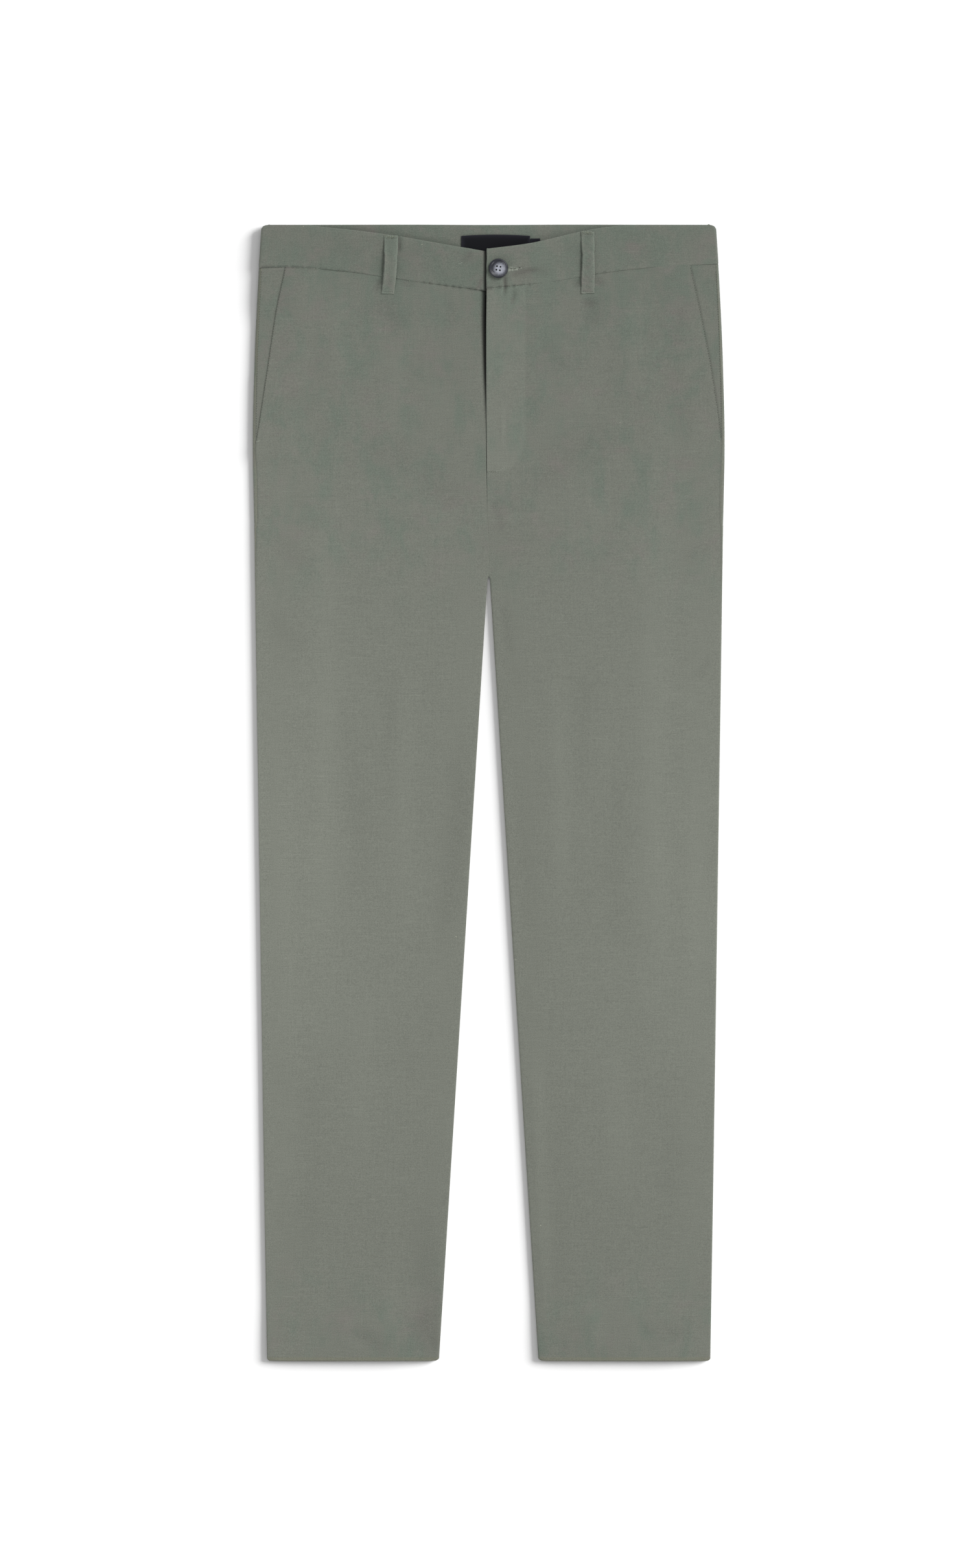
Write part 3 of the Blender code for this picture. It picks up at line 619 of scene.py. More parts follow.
def edge_point(half, height, along, inner, top=front_top):
    """The point this far round a side edge from where it leaves the floor, and its level."""
    radius = edge_height(height) / 2.0
    outward = -1.0 if inner else 1.0
    centre = leg_outline(height, inner) - outward * radius
    turn = np.clip(along / radius, 0.0, math.pi)
    past = np.maximum(along - math.pi * radius, 0.0)
    before = np.minimum(along, 0.0)
    across = centre + outward * (radius * np.sin(turn) + before - past)
    round_level = underside(height) + radius * (1.0 - np.cos(turn))
    return across, np.where(past > 0.0, top(half, across, height), round_level)


def waves(x, y, seed, wavelengths, height, count=10):
    """Soft unevenness: a sum of seeded waves that run in all directions."""
    rng = np.random.default_rng(seed)
    total = np.zeros(np.broadcast(x, y).shape)
    for _ in range(count):
        turn, phase = rng.uniform(0.0, 2.0 * math.pi, 2)
        rate = 2.0 * math.pi / rng.uniform(*wavelengths)
        total += np.sin(rate * (x * math.cos(turn) + y * math.sin(turn)) + phase)
    return total * height / math.sqrt(count)


def crease_height(creases, x, y):
    """The soft ridges and troughs of a table of creases, added up."""
    total = np.zeros(np.broadcast(x, y).shape)
    for start, end, bow, half_breadth, height in creases:
        run = np.subtract(end, start)
        length = math.hypot(*run)
        ahead = run / length
        part = ((x - start[0]) * ahead[0] + (y - start[1]) * ahead[1]) / length
        inside = np.clip(part, 0.0, 1.0)
        bend = bow * 4.0 * inside * (1.0 - inside)
        aside = (y - start[1]) * ahead[0] - (x - start[0]) * ahead[1] - bend
        fade = smooth(*CREASE_RISES, part) * (1.0 - smooth(*CREASE_FALLS, part))
        total += height * fade * hump(half_breadth, aside)
    return total


def fly_stitch_x(height):
    """The line of the fly's stitching, which curves in to the fly's end."""
    drop = np.clip((FLY_STITCH_CURVE_TOP_Y - height) / (FLY_STITCH_CURVE_TOP_Y - FLY_END_Y), 0.0, 1.0)
    return mix(FLY_STITCH_CURVE_X, FLY_STITCH_X, np.sqrt(1.0 - drop * drop))


def seam_pucker(along, away, reach, pitch, height, seed):
    """The small ripples that stitching draws up beside itself."""
    uneven = waves(along, np.zeros_like(along), seed, (pitch * 0.75, pitch * 1.5), height, 5)
    return uneven * np.exp(-np.abs(away) / reach)


def clear_of_edges(across, height, start, end):
    """0 near the outline and 1 inside it, so that the relief leaves the outline as it is."""
    outer = smooth(start, end, leg_outline(height, False) - across)
    inner = smooth(start, end, across - inner_edge(height))
    on_leg = 1.0 - smooth(*LEG_ENDS_Y, height)
    return outer * mix(1.0, inner, on_leg)


def relief(half, across, height):
    """What the front's cloth does besides its plain form: creases, unevenness and drawn-up seams."""
    x = half.sign * across
    total = crease_height(FRONT_CREASES, x, height)
    total += sum(waves(x, height, *kind) for kind in FRONT_WAVES)
    total += seam_pucker(across, height - half.waist_seam(np.abs(across)), *WAIST_PUCKER)
    total += seam_pucker(across, height - (HEM_Y + HEM_DEPTH), *HEM_PUCKER)
    at_pocket = smooth(*POCKET_PUCKER_Y, height)
    total += at_pocket * seam_pucker(height, across - half.pocket_mouth(height), *POCKET_PUCKER)
    return total * clear_of_edges(across, height, *FRONT_RELIEF_FROM)


def back_relief(half, across, height):
    """The same for the back, which lies on the floor, so it only rises off it."""
    x = half.sign * across
    total = BACK_LIES_OFF + crease_height(BACK_CREASES, x, height)
    total += sum(waves(x, height, *kind) for kind in BACK_WAVES)
    below_waist = 1.0 - smooth(*BACK_RELIEF_ENDS_Y, height)
    return np.maximum(total, 0.0) * clear_of_edges(across, height, *BACK_RELIEF_FROM) * below_waist


# ---- Meshes. ----


def placed(name, data):
    """A new object of this data, in the scene."""
    made = bpy.data.objects.new(name, data)
    bpy.context.scene.collection.objects.link(made)
    return made


def add_mesh(name, points, faces, material):
    """A smooth mesh object of these points, in millimetres, with its faces pointing out."""
    mesh = bpy.data.meshes.new(name)
    mesh.from_pydata((np.asarray(points) * MILLIMETRE).tolist(), [], faces)
    shape = bmesh.new()
    shape.from_mesh(mesh)
    inside_out = shape.calc_volume(signed=True) < 0.0
    shape.free()
    if inside_out:
        mesh.flip_normals()
    mesh.shade_smooth()
    mesh.materials.append(material)
    return placed(name, mesh)


def unit(vectors):
    return vectors / np.maximum(np.linalg.norm(vectors, axis=-1, keepdims=True), 1e-9)


def drawn_in(points, first_margins, last_margins):
    """A grid whose rows are drawn together, so that each loses its margins at its two ends."""
    steps = np.linalg.norm(np.diff(points, axis=1), axis=2)
    run = np.pad(np.cumsum(steps, axis=1), ((0, 0), (1, 0)))
    rows = []
    for row, places, first, last in zip(points, run, first_margins, last_margins):
        wanted = mix(first, places[-1] - last, places / places[-1])
        rows.append(np.column_stack([np.interp(wanted, places, row[:, axis]) for axis in range(3)]))
    return np.array(rows)


def border_of(rows, columns):
    """The places round a grid's edge, in order, as row and column numbers."""
    top = [(0, column) for column in range(columns)]
    right = [(row, columns - 1) for row in range(1, rows)]
    bottom = [(rows - 1, column) for column in range(columns - 2, -1, -1)]
    left = [(row, 0) for row in range(rows - 2, 0, -1)]
    return np.array(top + right + bottom + left).T


def edge_wear_and_highlight(points):
    """1 at a grid's edges, fading out inwards."""
    fades = []
    for grid in (points, points.swapaxes(0, 1)):
        run = np.cumsum(np.linalg.norm(np.diff(grid, axis=1), axis=2), axis=1)
        run = np.pad(run, ((0, 0), (1, 0)))
        fades.append(np.exp(-np.minimum(run, run[:, -1:] - run) / WEAR_AND_HIGHLIGHT_REACH))
    return np.maximum(fades[0], fades[1].T)


def mark(made, name, on_grid, on_rims):
    """Leaves a number on each point of a cloth, for its material: the grid's on both faces."""
    values = np.concatenate([on_grid, on_grid, on_rims])
    made.data.attributes.new(name, "FLOAT", "POINT").data.foreach_set("value", values)


def cloth(name, points, thickness, facing, material, crease_shade=0.0, painted_shade=0.0, rim_steps=4):
    """A closed shell with rounded edges. Its outer face is a grid of points that reaches its very edge.

    facing is OVER where the middle of the outer face looks up, and UNDER where it looks down.
    The last two arguments are what its points are marked with: the painted shade of creases, and the painted
    shade of gaps, seams and crevices.
    """
    rows, columns = points.shape[:2]
    thick = np.broadcast_to(thickness, (rows, columns))
    points = drawn_in(points, thick[:, 0] / 2.0, thick[:, -1] / 2.0)
    points = drawn_in(points.swapaxes(0, 1), thick[0] / 2.0, thick[-1] / 2.0).swapaxes(0, 1)
    up_rows = unit(np.gradient(points, axis=0))
    along_rows = unit(np.gradient(points, axis=1))
    normals = unit(np.cross(up_rows, along_rows))
    normals *= facing * np.sign(normals[rows // 2, columns // 2, 2])

    outward = np.zeros_like(points)
    outward[0] -= up_rows[0]
    outward[-1] += up_rows[-1]
    outward[:, 0] -= along_rows[:, 0]
    outward[:, -1] += along_rows[:, -1]
    border = border_of(rows, columns)
    border = border[0] * columns + border[1]
    border_outward = outward.reshape(-1, 3)[border]
    border_normal = normals.reshape(-1, 3)[border]
    border_half = thick.reshape(-1)[border][:, None] / 2.0
    middle = points.reshape(-1, 3)[border] - border_normal * border_half
    blocks = [points.reshape(-1, 3), (points - normals * thick[..., None]).reshape(-1, 3)]
    for step in range(1, rim_steps):
        turn = math.pi * step / rim_steps
        turned = border_normal * math.cos(turn) + border_outward * math.sin(turn)
        blocks.append(middle + turned * border_half)

    count = rows * columns
    index = np.arange(count).reshape(rows, columns)
    quads = np.stack([index[:-1, :-1], index[:-1, 1:], index[1:, 1:], index[1:, :-1]], -1).reshape(-1, 4)
    rings = [2 * count + step * len(border) + np.arange(len(border)) for step in range(rim_steps - 1)]
    loops = [border] + rings + [count + border]
    faces = [quads, count + quads[:, ::-1]]
    for upper, lower in zip(loops, loops[1:]):
        faces.append(np.stack([np.roll(upper, -1), upper, lower, np.roll(lower, -1)], -1))
    made = add_mesh(name, np.concatenate(blocks), np.concatenate(faces).tolist(), material)
    for mark_name, values in ((WEAR_AND_HIGHLIGHT, edge_wear_and_highlight(points)), (CREASE_SHADE, crease_shade), (PAINTED_SHADE, painted_shade)):
        values = np.broadcast_to(values, (rows, columns)).reshape(-1)
        mark(made, mark_name, values, np.tile(values[border], rim_steps - 1))
    return made


def spaced(length, pitch, end_pitch, end_count):
    """Places from 0 to 1 for a length: pitch apart, and closer for a few steps at each end."""
    steps = [float(mix(end_pitch, pitch, smooth(0.0, end_count, step))) for step in range(end_count)]
    middle = max(int((length - 2.0 * sum(steps)) / pitch), 1)
    places = np.cumsum([0.0] + steps + [pitch] * middle + steps[::-1])
    return places / places[-1]


def places_between(first, *stops):
    """Places from the first on, where each later stop gives its place and the pitch up to it."""
    places = [np.array([first])]
    for end, pitch in stops:
        start = places[-1][-1]
        places.append(np.linspace(start, end, max(int(round((end - start) / pitch)), 1) + 1)[1:])
    return np.concatenate(places)


def grid_box(low, high, pitch, end_pitch=0.5):
    """The x and y of a level grid over a box, closer at its edges."""
    x = mix(low[0], high[0], spaced(high[0] - low[0], pitch, end_pitch, 3))[None, :]
    y = mix(low[1], high[1], spaced(high[1] - low[1], pitch, end_pitch, 3))[:, None]
    return np.broadcast_arrays(x, y)


def lathe(name, profile, sides, material):
    """A turned solid about +Z through (radius, height) points, from its middle below to its middle above."""
    radii, heights = np.array(profile).T
    turns = np.linspace(0.0, 2.0 * math.pi, sides, endpoint=False)[:, None]
    x, y, z = np.broadcast_arrays(radii * np.cos(turns), radii * np.sin(turns), heights)
    index = np.arange(x.size).reshape(x.shape)
    after = np.roll(index, -1, axis=0)
    walls = np.stack([index[:, :-1], after[:, :-1], after[:, 1:], index[:, 1:]], -1).reshape(-1, 4)
    caps = [index[::-1, 0].tolist(), index[:, -1].tolist()]
    return add_mesh(name, np.stack([x, y, z], -1).reshape(-1, 3), walls.tolist() + caps, material)


def tubes(name, strands, radius, material, sides=6):
    """Fine round threads that taper at both ends: strands holds the points down the middle of each."""
    strands = np.array(strands)
    count, length = strands.shape[:2]
    ahead = unit(np.gradient(strands, axis=1))
    sideways = unit(np.cross(ahead, np.array([0.0, 0.0, 1.0])))
    upward = np.cross(sideways, ahead)
    taper = radius * np.sqrt(np.clip(1.0 - np.linspace(-1.0, 1.0, length) ** 4, 0.12, 1.0))
    ring = []
    for side in range(sides):
        turn = 2.0 * math.pi * side / sides
        ring.append(sideways * math.cos(turn) + upward * math.sin(turn))
    points = strands[:, :, None, :] + np.stack(ring, 2) * taper[None, :, None, None]
    index = np.arange(count * length * sides).reshape(count, length, sides)
    after = np.roll(index, -1, 2)
    walls = np.stack([index[:, :-1], index[:, 1:], after[:, 1:], after[:, :-1]], -1).reshape(-1, 4)
    caps = index[:, 0].tolist() + index[:, -1, ::-1].tolist()
    return add_mesh(name, points.reshape(-1, 3), walls.tolist() + caps, material)


# ---- Pieces of cloth. ----


def hip_height(seam_height, step):
    return mix(POCKET_END_Y, seam_height - SEAM_GAP / 2.0, step)


def leg_heights(pitch):
    """The heights of a panel's rows up to the pocket's end, closer at the hem's fold and at the crotch."""
    fold = HEM_Y + HEM_DEPTH
    return places_between(
        HEM_Y,
        (HEM_Y + 3.0, 0.6),
        (fold - 2.0, 1.9),
        (fold + 4.0, 0.8),
        (CROTCH_Y - 6.0, pitch),
        (CROTCH_Y + 3.0, 0.5),
        (POCKET_END_Y, pitch),
    )


def panel_cloth(height):
    return mix(HEM_CLOTH, CLOTH, smooth(*HEM_FADES_Y, height))


def front_leg_points(half, height, part):
    """How far across and how high level rows of a front panel lie, from the side seam to the inner edge."""
    radius = edge_height(height) / 2.0
    half_turn = math.pi * radius
    outer_flat = leg_outline(height, False) - radius
    mouth_start = half_turn + outer_flat - half.pocket_mouth(height)
    to_mouth = smooth(POCKET_END_Y - MOUTH_BLEND, POCKET_END_Y, height)
    start = mix(side_seam(height) - SIDE_CLOSES, mouth_start, to_mouth)
    over_leg = half_turn + outer_flat - leg_outline(height, True) - radius
    along = mix(start, over_leg + half_turn / 2.0 - SEAM_GAP / 2.0, part)
    outer = edge_point(half, height, along, False)
    inner = edge_point(half, height, half_turn - (along - over_leg), True)
    on_leg = np.where(along > over_leg, inner, outer)

    body_end = half_turn + outer_flat - half.front_edge(height)
    on_body = np.array(edge_point(half, height, mix(start, body_end, part), False))
    return mix(on_leg, on_body, above_crotch(height))


def front_panel(half, material):
    """A front panel: level rows up to the pocket's end, then rows that bend to meet the waist seam."""
    columns = places_between(0.0, *FRONT_COLUMNS)[None, :]
    part = columns / columns[0, -1]
    leg = leg_heights(FRONT_PITCH)[:, None]
    leg_across, leg_level = front_leg_points(half, leg, part)

    step = spaced(*HIP_ROWS)[1:, None]
    mouth = half.pocket_mouth(hip_height(half.waist_seam(MOUTH_ACROSS), step))
    centre = half.front_edge(hip_height(half.waist_seam(0.0), step))
    hip_across = mix(mouth, centre, part)
    hips = hip_height(half.panel_top(np.abs(hip_across)), step)

    across = np.concatenate([leg_across, hip_across])
    height = np.concatenate([np.broadcast_to(leg, leg_across.shape), hips])
    level = np.concatenate([leg_level, front_top(half, hip_across, hips)]) + relief(half, across, height)
    inward = half.pocket_mouth(height) - across
    at_mouth = (1.0 - smooth(0.0, MOUTH_CLOTH_FADES, inward)) * smooth(*MOUTH_THINS_Y, height)
    thickness = mix(panel_cloth(height), MOUTH_CLOTH, at_mouth)
    # Painted shade: the creases' depth, which the material paints darker in a trough and lighter on a ridge.
    crease_shade = -crease_height(FRONT_CREASES, half.sign * across, height)
    side = leg_outline(height, False) - side_seam_inset(height) - across
    on_mouth = smooth(FACING_END_Y, POCKET_END_Y, height)
    # Painted shade along the open waist seam, the pocket's mouth and the side seam.
    painted_shade = waist_seam_painted_shade(half, across, height) + MOUTH_DARK * on_mouth * fine_line(inward)
    painted_shade += SIDE_DARK * (1.0 - on_mouth) * smooth(*SIDE_DARK_Y, height) * fine_line(side)
    if half.name == "right":
        level -= gap_dip(-across, height)
        # Painted shade in the fly's gap.
        painted_shade = np.maximum(painted_shade, gap_painted_shade(across, height))
    else:
        inside = fly_stitch_x(height) - across
        on_fly = smooth(*FLY_SETS_IN_Y, height)
        raised = FLY_FACING_RAISES * smooth(*FLY_FACING_EDGE, inside)
        level += on_fly * (raised + seam_pucker(height, inside, *FLY_PUCKER))
        thickness = mix(thickness, FLY_CLOTH, on_fly * smooth(*FLY_DOUBLED_FROM, inside))
        # The cloth over the fly is painted lighter and less brown.
        crease_shade -= FLY_LIGHTER * on_fly * smooth(-1.0, 1.0, inside)
    points = half.points(across, height, level)
    return cloth(f"front_{half.name}", points, thickness, OVER, material, crease_shade, painted_shade)


def back_panel(half, material):
    """A back panel: level rows from the inseam or the centre, underneath and up round the side edge."""
    seam_top = float(half.waist_seam(SIDE_ACROSS)) - SEAM_GAP / 2.0
    hips = places_between(POCKET_END_Y, (seam_top, BACK_HIP_PITCH))[1:]
    height = np.concatenate([leg_heights(BACK_PITCH), hips])[:, None]
    part = spaced(*BACK_COLUMNS)[None, :]
    radius = edge_height(height) / 2.0
    inner_turn = math.pi * radius / 2.0 - SEAM_GAP / 2.0
    outer_flat = leg_outline(height, False) - radius
    seam = side_seam(height) + SIDE_CLOSES

    over_leg = inner_turn + outer_flat - leg_outline(height, True) - radius
    along = mix(0.0, over_leg + seam, part)
    outer = edge_point(half, height, along - over_leg, False, side_top)
    inner = edge_point(half, height, inner_turn - along, True)
    on_leg = np.where(along < inner_turn, inner, outer)

    body_flat = outer_flat - SEAM_GAP / 2.0
    body_along = mix(0.0, body_flat + seam, part) - body_flat
    on_body = np.array(edge_point(half, height, body_along, False, side_top))
    across, level = mix(on_leg, on_body, above_crotch(height))
    underneath = level < underside(height) + radius
    level += underneath * back_relief(half, across, height)
    points = half.points(across, height, level)
    return cloth(f"back_{half.name}", points, panel_cloth(height), UNDER, material)


def pocket_facing(half, material):
    """The piece behind the slanted mouth, from the side seam in under the front."""
    step = spaced(*FACING_ROWS)[:, None]
    part = spaced(*FACING_COLUMNS)[None, :]
    side = mix(FACING_END_Y, half.panel_top(SIDE_ACROSS), step)
    outer = leg_outline(side, False) - side_seam_inset(side) + SIDE_CLOSES
    across = mix(outer, half.pocket_mouth(side) - POCKET_UNDERLAP, part)
    height = mix(FACING_END_Y, half.panel_top(across), step)
    level = side_top(half, across, height) + relief(half, across, height)
    # Painted shade along the pocket's mouth and the side seam.
    painted_shade = FACING_MOUTH_DARK * fine_line(half.pocket_mouth(height) - across)
    painted_shade += SIDE_DARK * fine_line(outer - across)
    points = half.points(across, height, level)
    return cloth(f"facing_{half.name}", points, CLOTH, OVER, material, 0.0, painted_shade)


def fly_shield(left, right, material):
    """The strip under the fly, which shows in the fly's gap, painted dark all over as the shade there."""
    x, y = grid_box(*node_box("fly_shield"), FLY_PIECE_PITCH)
    under_right = tube_top(right, np.abs(x), y) - CLOTH - SEAM_GAP
    under_zip = tube_top(left, np.abs(x), y) - FLY_CLOTH - CLOTH - 2.0 * SEAM_GAP
    level = mix(under_right, np.minimum(under_zip, under_right), smooth(*SHIELD_SINKS_X, x))
    level = level - SHIELD_DROP * smooth(*SHIELD_DROPS_X, x) - gap_dip(x, y) + relief(left, x, y)
    points = np.stack([x, y, level], -1)
    return cloth("shield", points, SHIELD_CLOTH, OVER, material, 0.0, SHIELD_DARK)


def under_fly(left, x, height, depth):
    """The level this far below the fly's facing."""
    return tube_top(left, np.abs(x), height) - FLY_CLOTH - SEAM_GAP - depth + relief(left, x, height)


def fly_zip(left, material):
    """The closed zip: its tape, and the coil's teeth that meet in its middle."""
    low, high = node_box("fly_zip")
    x, y = grid_box(low, high, FLY_PIECE_PITCH)
    points = np.stack([x, y, under_fly(left, x, y, TAPE_DEPTH)], -1)
    tape = cloth("zip_tape", points, TAPE_CLOTH, OVER, material)
    middle = (low[0] + high[0]) / 2.0
    strands = []
    for number, height in enumerate(np.arange(low[1] + ZIP_END, high[1] - ZIP_END, TOOTH_PITCH)):
        reach = np.linspace(*TOOTH_REACH, 5) * (1.0 if number % 2 else -1.0)
        level = under_fly(left, middle, height, TOOTH_DEPTH)
        strands.append(np.column_stack([middle + reach, np.full(5, height), np.full(5, level)]))
    teeth = tubes("zip_teeth", strands, TOOTH_RADIUS, material)
    return tape, teeth


def waistband(half, material):
    """Half of the waistband: from its front end round the side to the centre back."""
    step = np.concatenate([np.linspace(*rows) for rows in BAND_ROWS])[:, None]
    seam_y = half.waist_seam(SIDE_ACROSS) + SEAM_GAP / 2.0
    corner = np.clip(mix(seam_y, WAIST_Y, step) - (WAIST_Y - BAND_CORNER), 0.0, BAND_CORNER)
    edge = half_width(BAND_MIDDLE_Y) - BAND_CORNER + np.sqrt(BAND_CORNER**2 - corner**2)
    radius = (half.band_underside(edge) + BAND_CLOTH - WAIST_LIFT) / 2.0
    front_end = -BAND_UNDERLAP
    if half.name == "left":
        wobble = BAND_END_WOBBLE * np.sin(BAND_END_RATE * step)
        front_end = fly_edge(BAND_MIDDLE_Y) - BAND_END_LAP + BAND_END_SLANT * step + wobble

    front_across = mix(front_end, edge - radius, spaced(*BAND_FRONT_COLUMNS)[None, :])
    turn = np.linspace(0.0, math.pi, BAND_EDGE_STEPS + 1)[None, 1:-1]
    back_across = mix(edge - radius, -BACK_MEETS, spaced(*BAND_BACK_COLUMNS)[None, :])

    def all_round(front, over_side, back):
        """Rows that run from the front end over the side's edge to the centre back."""
        return np.concatenate([front, over_side, np.broadcast_to(back, back_across.shape)], axis=1)

    across = all_round(front_across, edge - radius + radius * np.sin(turn), back_across)
    on_front = np.abs(front_across)
    rising = turn / math.pi
    low_front = half.band_foot(on_front)
    low_round = mix(low_front[:, -1:], seam_y - SEAM_GAP / 2.0, rising)
    low = all_round(low_front, low_round, low_round[0, -1])
    high_front = half.band_top(on_front)
    high = all_round(high_front, mix(high_front[:, -1:], WAIST_Y, rising), WAIST_Y)
    height = mix(low + SEAM_GAP / 2.0, high, step)
    flare = mix(half_width(low), half_width(high), step) - half_width(BAND_MIDDLE_Y)
    across = across + flare * smooth(*BAND_FLARE_ACROSS, across)

    front = np.s_[:, : front_across.shape[1]]
    across_front, height_front = across[front], height[front]
    level_front = band_top_level(half, across_front) + relief(half, across_front, height_front)
    top_rolls = smooth(*BAND_TOP_ROLL_STEPS, step)
    foot_rolls = 1.0 - smooth(*BAND_FOOT_ROLL_STEPS, step)
    level_front -= BAND_TOP_ROLL * top_rolls + BAND_FOOT_ROLL * foot_rolls
    thickness = np.full_like(across, BAND_CLOTH)
    crease_shade, painted_shade = np.zeros_like(across), np.zeros_like(across)
    # Painted shade: the creases' depth, which the material paints darker in a trough and lighter on a ridge.
    crease_shade[front] = -crease_height(FRONT_CREASES, half.sign * across_front, height_front)
    # Painted shade along the open waist seam.
    painted_shade[front] = waist_seam_painted_shade(half, across_front, height_front)
    if half.name == "right":
        pressed = BAND_DIP * np.exp(-np.abs(across_front - BAND_DIP_ACROSS) / BAND_DIP_FADES)
        level_front -= pressed
        thickness[front] -= pressed
        # Painted shade beside the left half's end, which this band runs under.
        beside_gap = 1.0 - smooth(BAND_DIP_ACROSS, BAND_DIP_ACROSS + 2.0 * BAND_GAP_SOFT, across_front)
        in_gap = GAP_DARK * beside_gap * smooth(-1.0, 0.0, across_front)
        painted_shade[front] = np.maximum(painted_shade[front], in_gap)
    else:
        first, last = BUTTONHOLE_X
        in_hole = smooth(first, first + 1.0, across_front) * (1.0 - smooth(last - 1.0, last, across_front))
        level_front -= BUTTONHOLE_DEPTH * in_hole * hump(BUTTONHOLE_BREADTH, step - BUTTONHOLE_STEP)
    level = all_round(level_front, WAIST_LIFT + radius * (1.0 + np.cos(turn)), WAIST_LIFT)
    points = half.points(across, height, level)
    return cloth(f"band_{half.name}", points, thickness, OVER, material, crease_shade, painted_shade)


def front_belt_loop(half, material):
    """A folded strip sewn down at both ends, standing a little off the waistband between them."""
    top, foot, top_width, foot_width = FRONT_LOOPS[half.name]
    part = spaced(top[1] - foot[1], *LOOP_ROWS)[:, None]
    side = half.sign * (spaced(top_width, *LOOP_COLUMNS)[None, :] - 0.5)
    bulge = np.sin(math.pi * part)
    run = part * LOOP_RUN
    middle = mix(foot[0], top[0], part) + half.sign * LOOP_BOW[half.name] * bulge
    uneven = waves(run, np.sign(side) * LOOP_SIDES_APART, *LOOP_SIDE_WAVES)
    pinch = LOOP_PINCH[half.name] * bulge * smooth(*LOOP_PINCHED, part)
    width = mix(foot_width, top_width, part) * (1.0 - pinch)
    across = middle + side * (width + uneven)
    height = mix(foot[1], top[1], part) + waves(across, run, *LOOP_END_WAVES)
    panel = front_top(half, across, height)
    band = np.maximum(band_top_level(half, across), panel)
    carrier = mix(panel, band, smooth(*LOOP_MEETS_BAND, part)) + relief(half, across, height)
    to_right = -half.sign * side
    arch = LOOP_ARCH[half.name] * bulge**2 * (1.0 + LOOP_TILT * to_right)
    thickness = mix(LOOP_PRESSED, LOOP_CLOTH, bulge)
    rolled = LOOP_ROLL * np.abs(2.0 * side) ** 4
    at_foot = hump(LOOP_FOOT_DENT, part - LOOP_FOOT_STITCH)
    at_top = hump(LOOP_TOP_DENT, part - LOOP_TOP_STITCH[half.name])
    sewn = LOOP_SEWN * at_foot + LOOP_SEWN * at_top
    puckered = waves(across, height, *LOOP_FACE_WAVES)
    level = carrier + LOOP_SEAT + thickness + arch - rolled - sewn + puckered
    # Painted shade along the loop's edge on the wearer's right, the side away from the light.
    painted_shade = LOOP_DARK * smooth(*LOOP_DARK_FROM, to_right) * mix(LOOP_DARK_AT_ENDS, 1.0, bulge)
    points = half.points(across, height, level)
    return cloth(f"loop_front_{half.name}", points, thickness, OVER, material, 0.0, painted_shade)


def back_belt_loop(node, material):
    """A folded strip pressed flat between the floor and the back of the waist."""
    low, high = node_box(node)
    x, y = grid_box(low, high, BACK_LOOP_PITCH)
    level = low[2] + 0.06 + 0.05 * np.sin(y / 5.0) ** 2
    thickness = high[2] - low[2] - LOOP_PRESSED_IN
    return cloth(node.replace("belt_", ""), np.stack([x, y, level], -1), thickness, UNDER, material)


def sewn_label(node, name, arch, material):
    """A woven label on the inner face of the waistband's back, folded under at its two ends."""
    low, high = node_box(node)
    x, y = grid_box(low, high - (0.0, arch, 0.0), 1.0, 0.4)
    middle = (low[0] + high[0]) / 2.0
    half_length = (high[0] - low[0]) / 2.0
    y = y + arch * (1.0 - ((x - middle) / half_length) ** 2)
    to_end = half_length - np.abs(x - middle)
    folded = LABEL_FOLD_RAISES * (1.0 - smooth(*LABEL_FOLD_ENDS, to_end))
    level = high[2] - LABEL_PRESSED_IN + waves(x, y, *LABEL_WAVES) + folded
    return cloth(name, np.stack([x, y, level], -1), LABEL_CLOTH, OVER, material)


def waist_button(left, material):
    """A turned button with a raised rim and four holes."""
    button = lathe("button", BUTTON_PROFILE, BUTTON_SIDES, material)
    low, high = node_box("waist_button")
    seat = left.band_underside(0.0) + BAND_CLOTH + SEAM_GAP
    button.location = Vector(((low[0] + high[0]) / 2.0, (low[1] + high[1]) / 2.0, seat)) * MILLIMETRE
    button.rotation_euler = (0.0, 0.0, math.radians(BUTTON_TURN))
    cutters = []
    for right, up in ((-1.0, -1.0), (-1.0, 1.0), (1.0, -1.0), (1.0, 1.0)):
        cutter = lathe("cutter", HOLE_PROFILE, HOLE_SIDES, material)
        cutter.parent = button
        cutter.location = Vector((right, up, 0.0)) * HOLE_OFFSET * MILLIMETRE
        hole = button.modifiers.new("hole", "BOOLEAN")
        hole.operation = "DIFFERENCE"
        hole.object = cutter
        cutters.append(cutter)
    bpy.context.view_layer.update()
    made = button.evaluated_get(bpy.context.evaluated_depsgraph_get())
    drilled = bpy.data.meshes.new_from_object(made)
    button.modifiers.clear()
    button.data = drilled
    drilled.set_sharp_from_angle(angle=math.radians(BUTTON_CREASE))
    for cutter in cutters:
        bpy.data.objects.remove(cutter)
    return button


# ---- Threads: every stitch is a short length of thread that dips into the cloth at both ends. ----


class Surface:
    """The upper face of the finished pieces, to lay threads on."""

    def __init__(self, objects):
        self.trees = []
        for piece in objects:
            corners = [vertex.co for vertex in piece.data.vertices]
            faces = [tuple(face.vertices) for face in piece.data.polygons]
            self.trees.append(BVHTree.FromPolygons(corners, faces))

    def level(self, x, y):
        """The level of the highest face under a point, in millimetres."""
        above = Vector((x * MILLIMETRE, y * MILLIMETRE, 0.1))
        hits = [tree.ray_cast(above, Vector((0.0, 0.0, -1.0)))[0] for tree in self.trees]
        return max((hit.z / MILLIMETRE for hit in hits if hit is not None), default=0.0)

    def strand(self, places, arch):
        """A thread's points over these places, standing off the surface by arch."""
        levels = [self.level(*place) for place in places]
        return np.column_stack([places, np.array(levels) + arch])


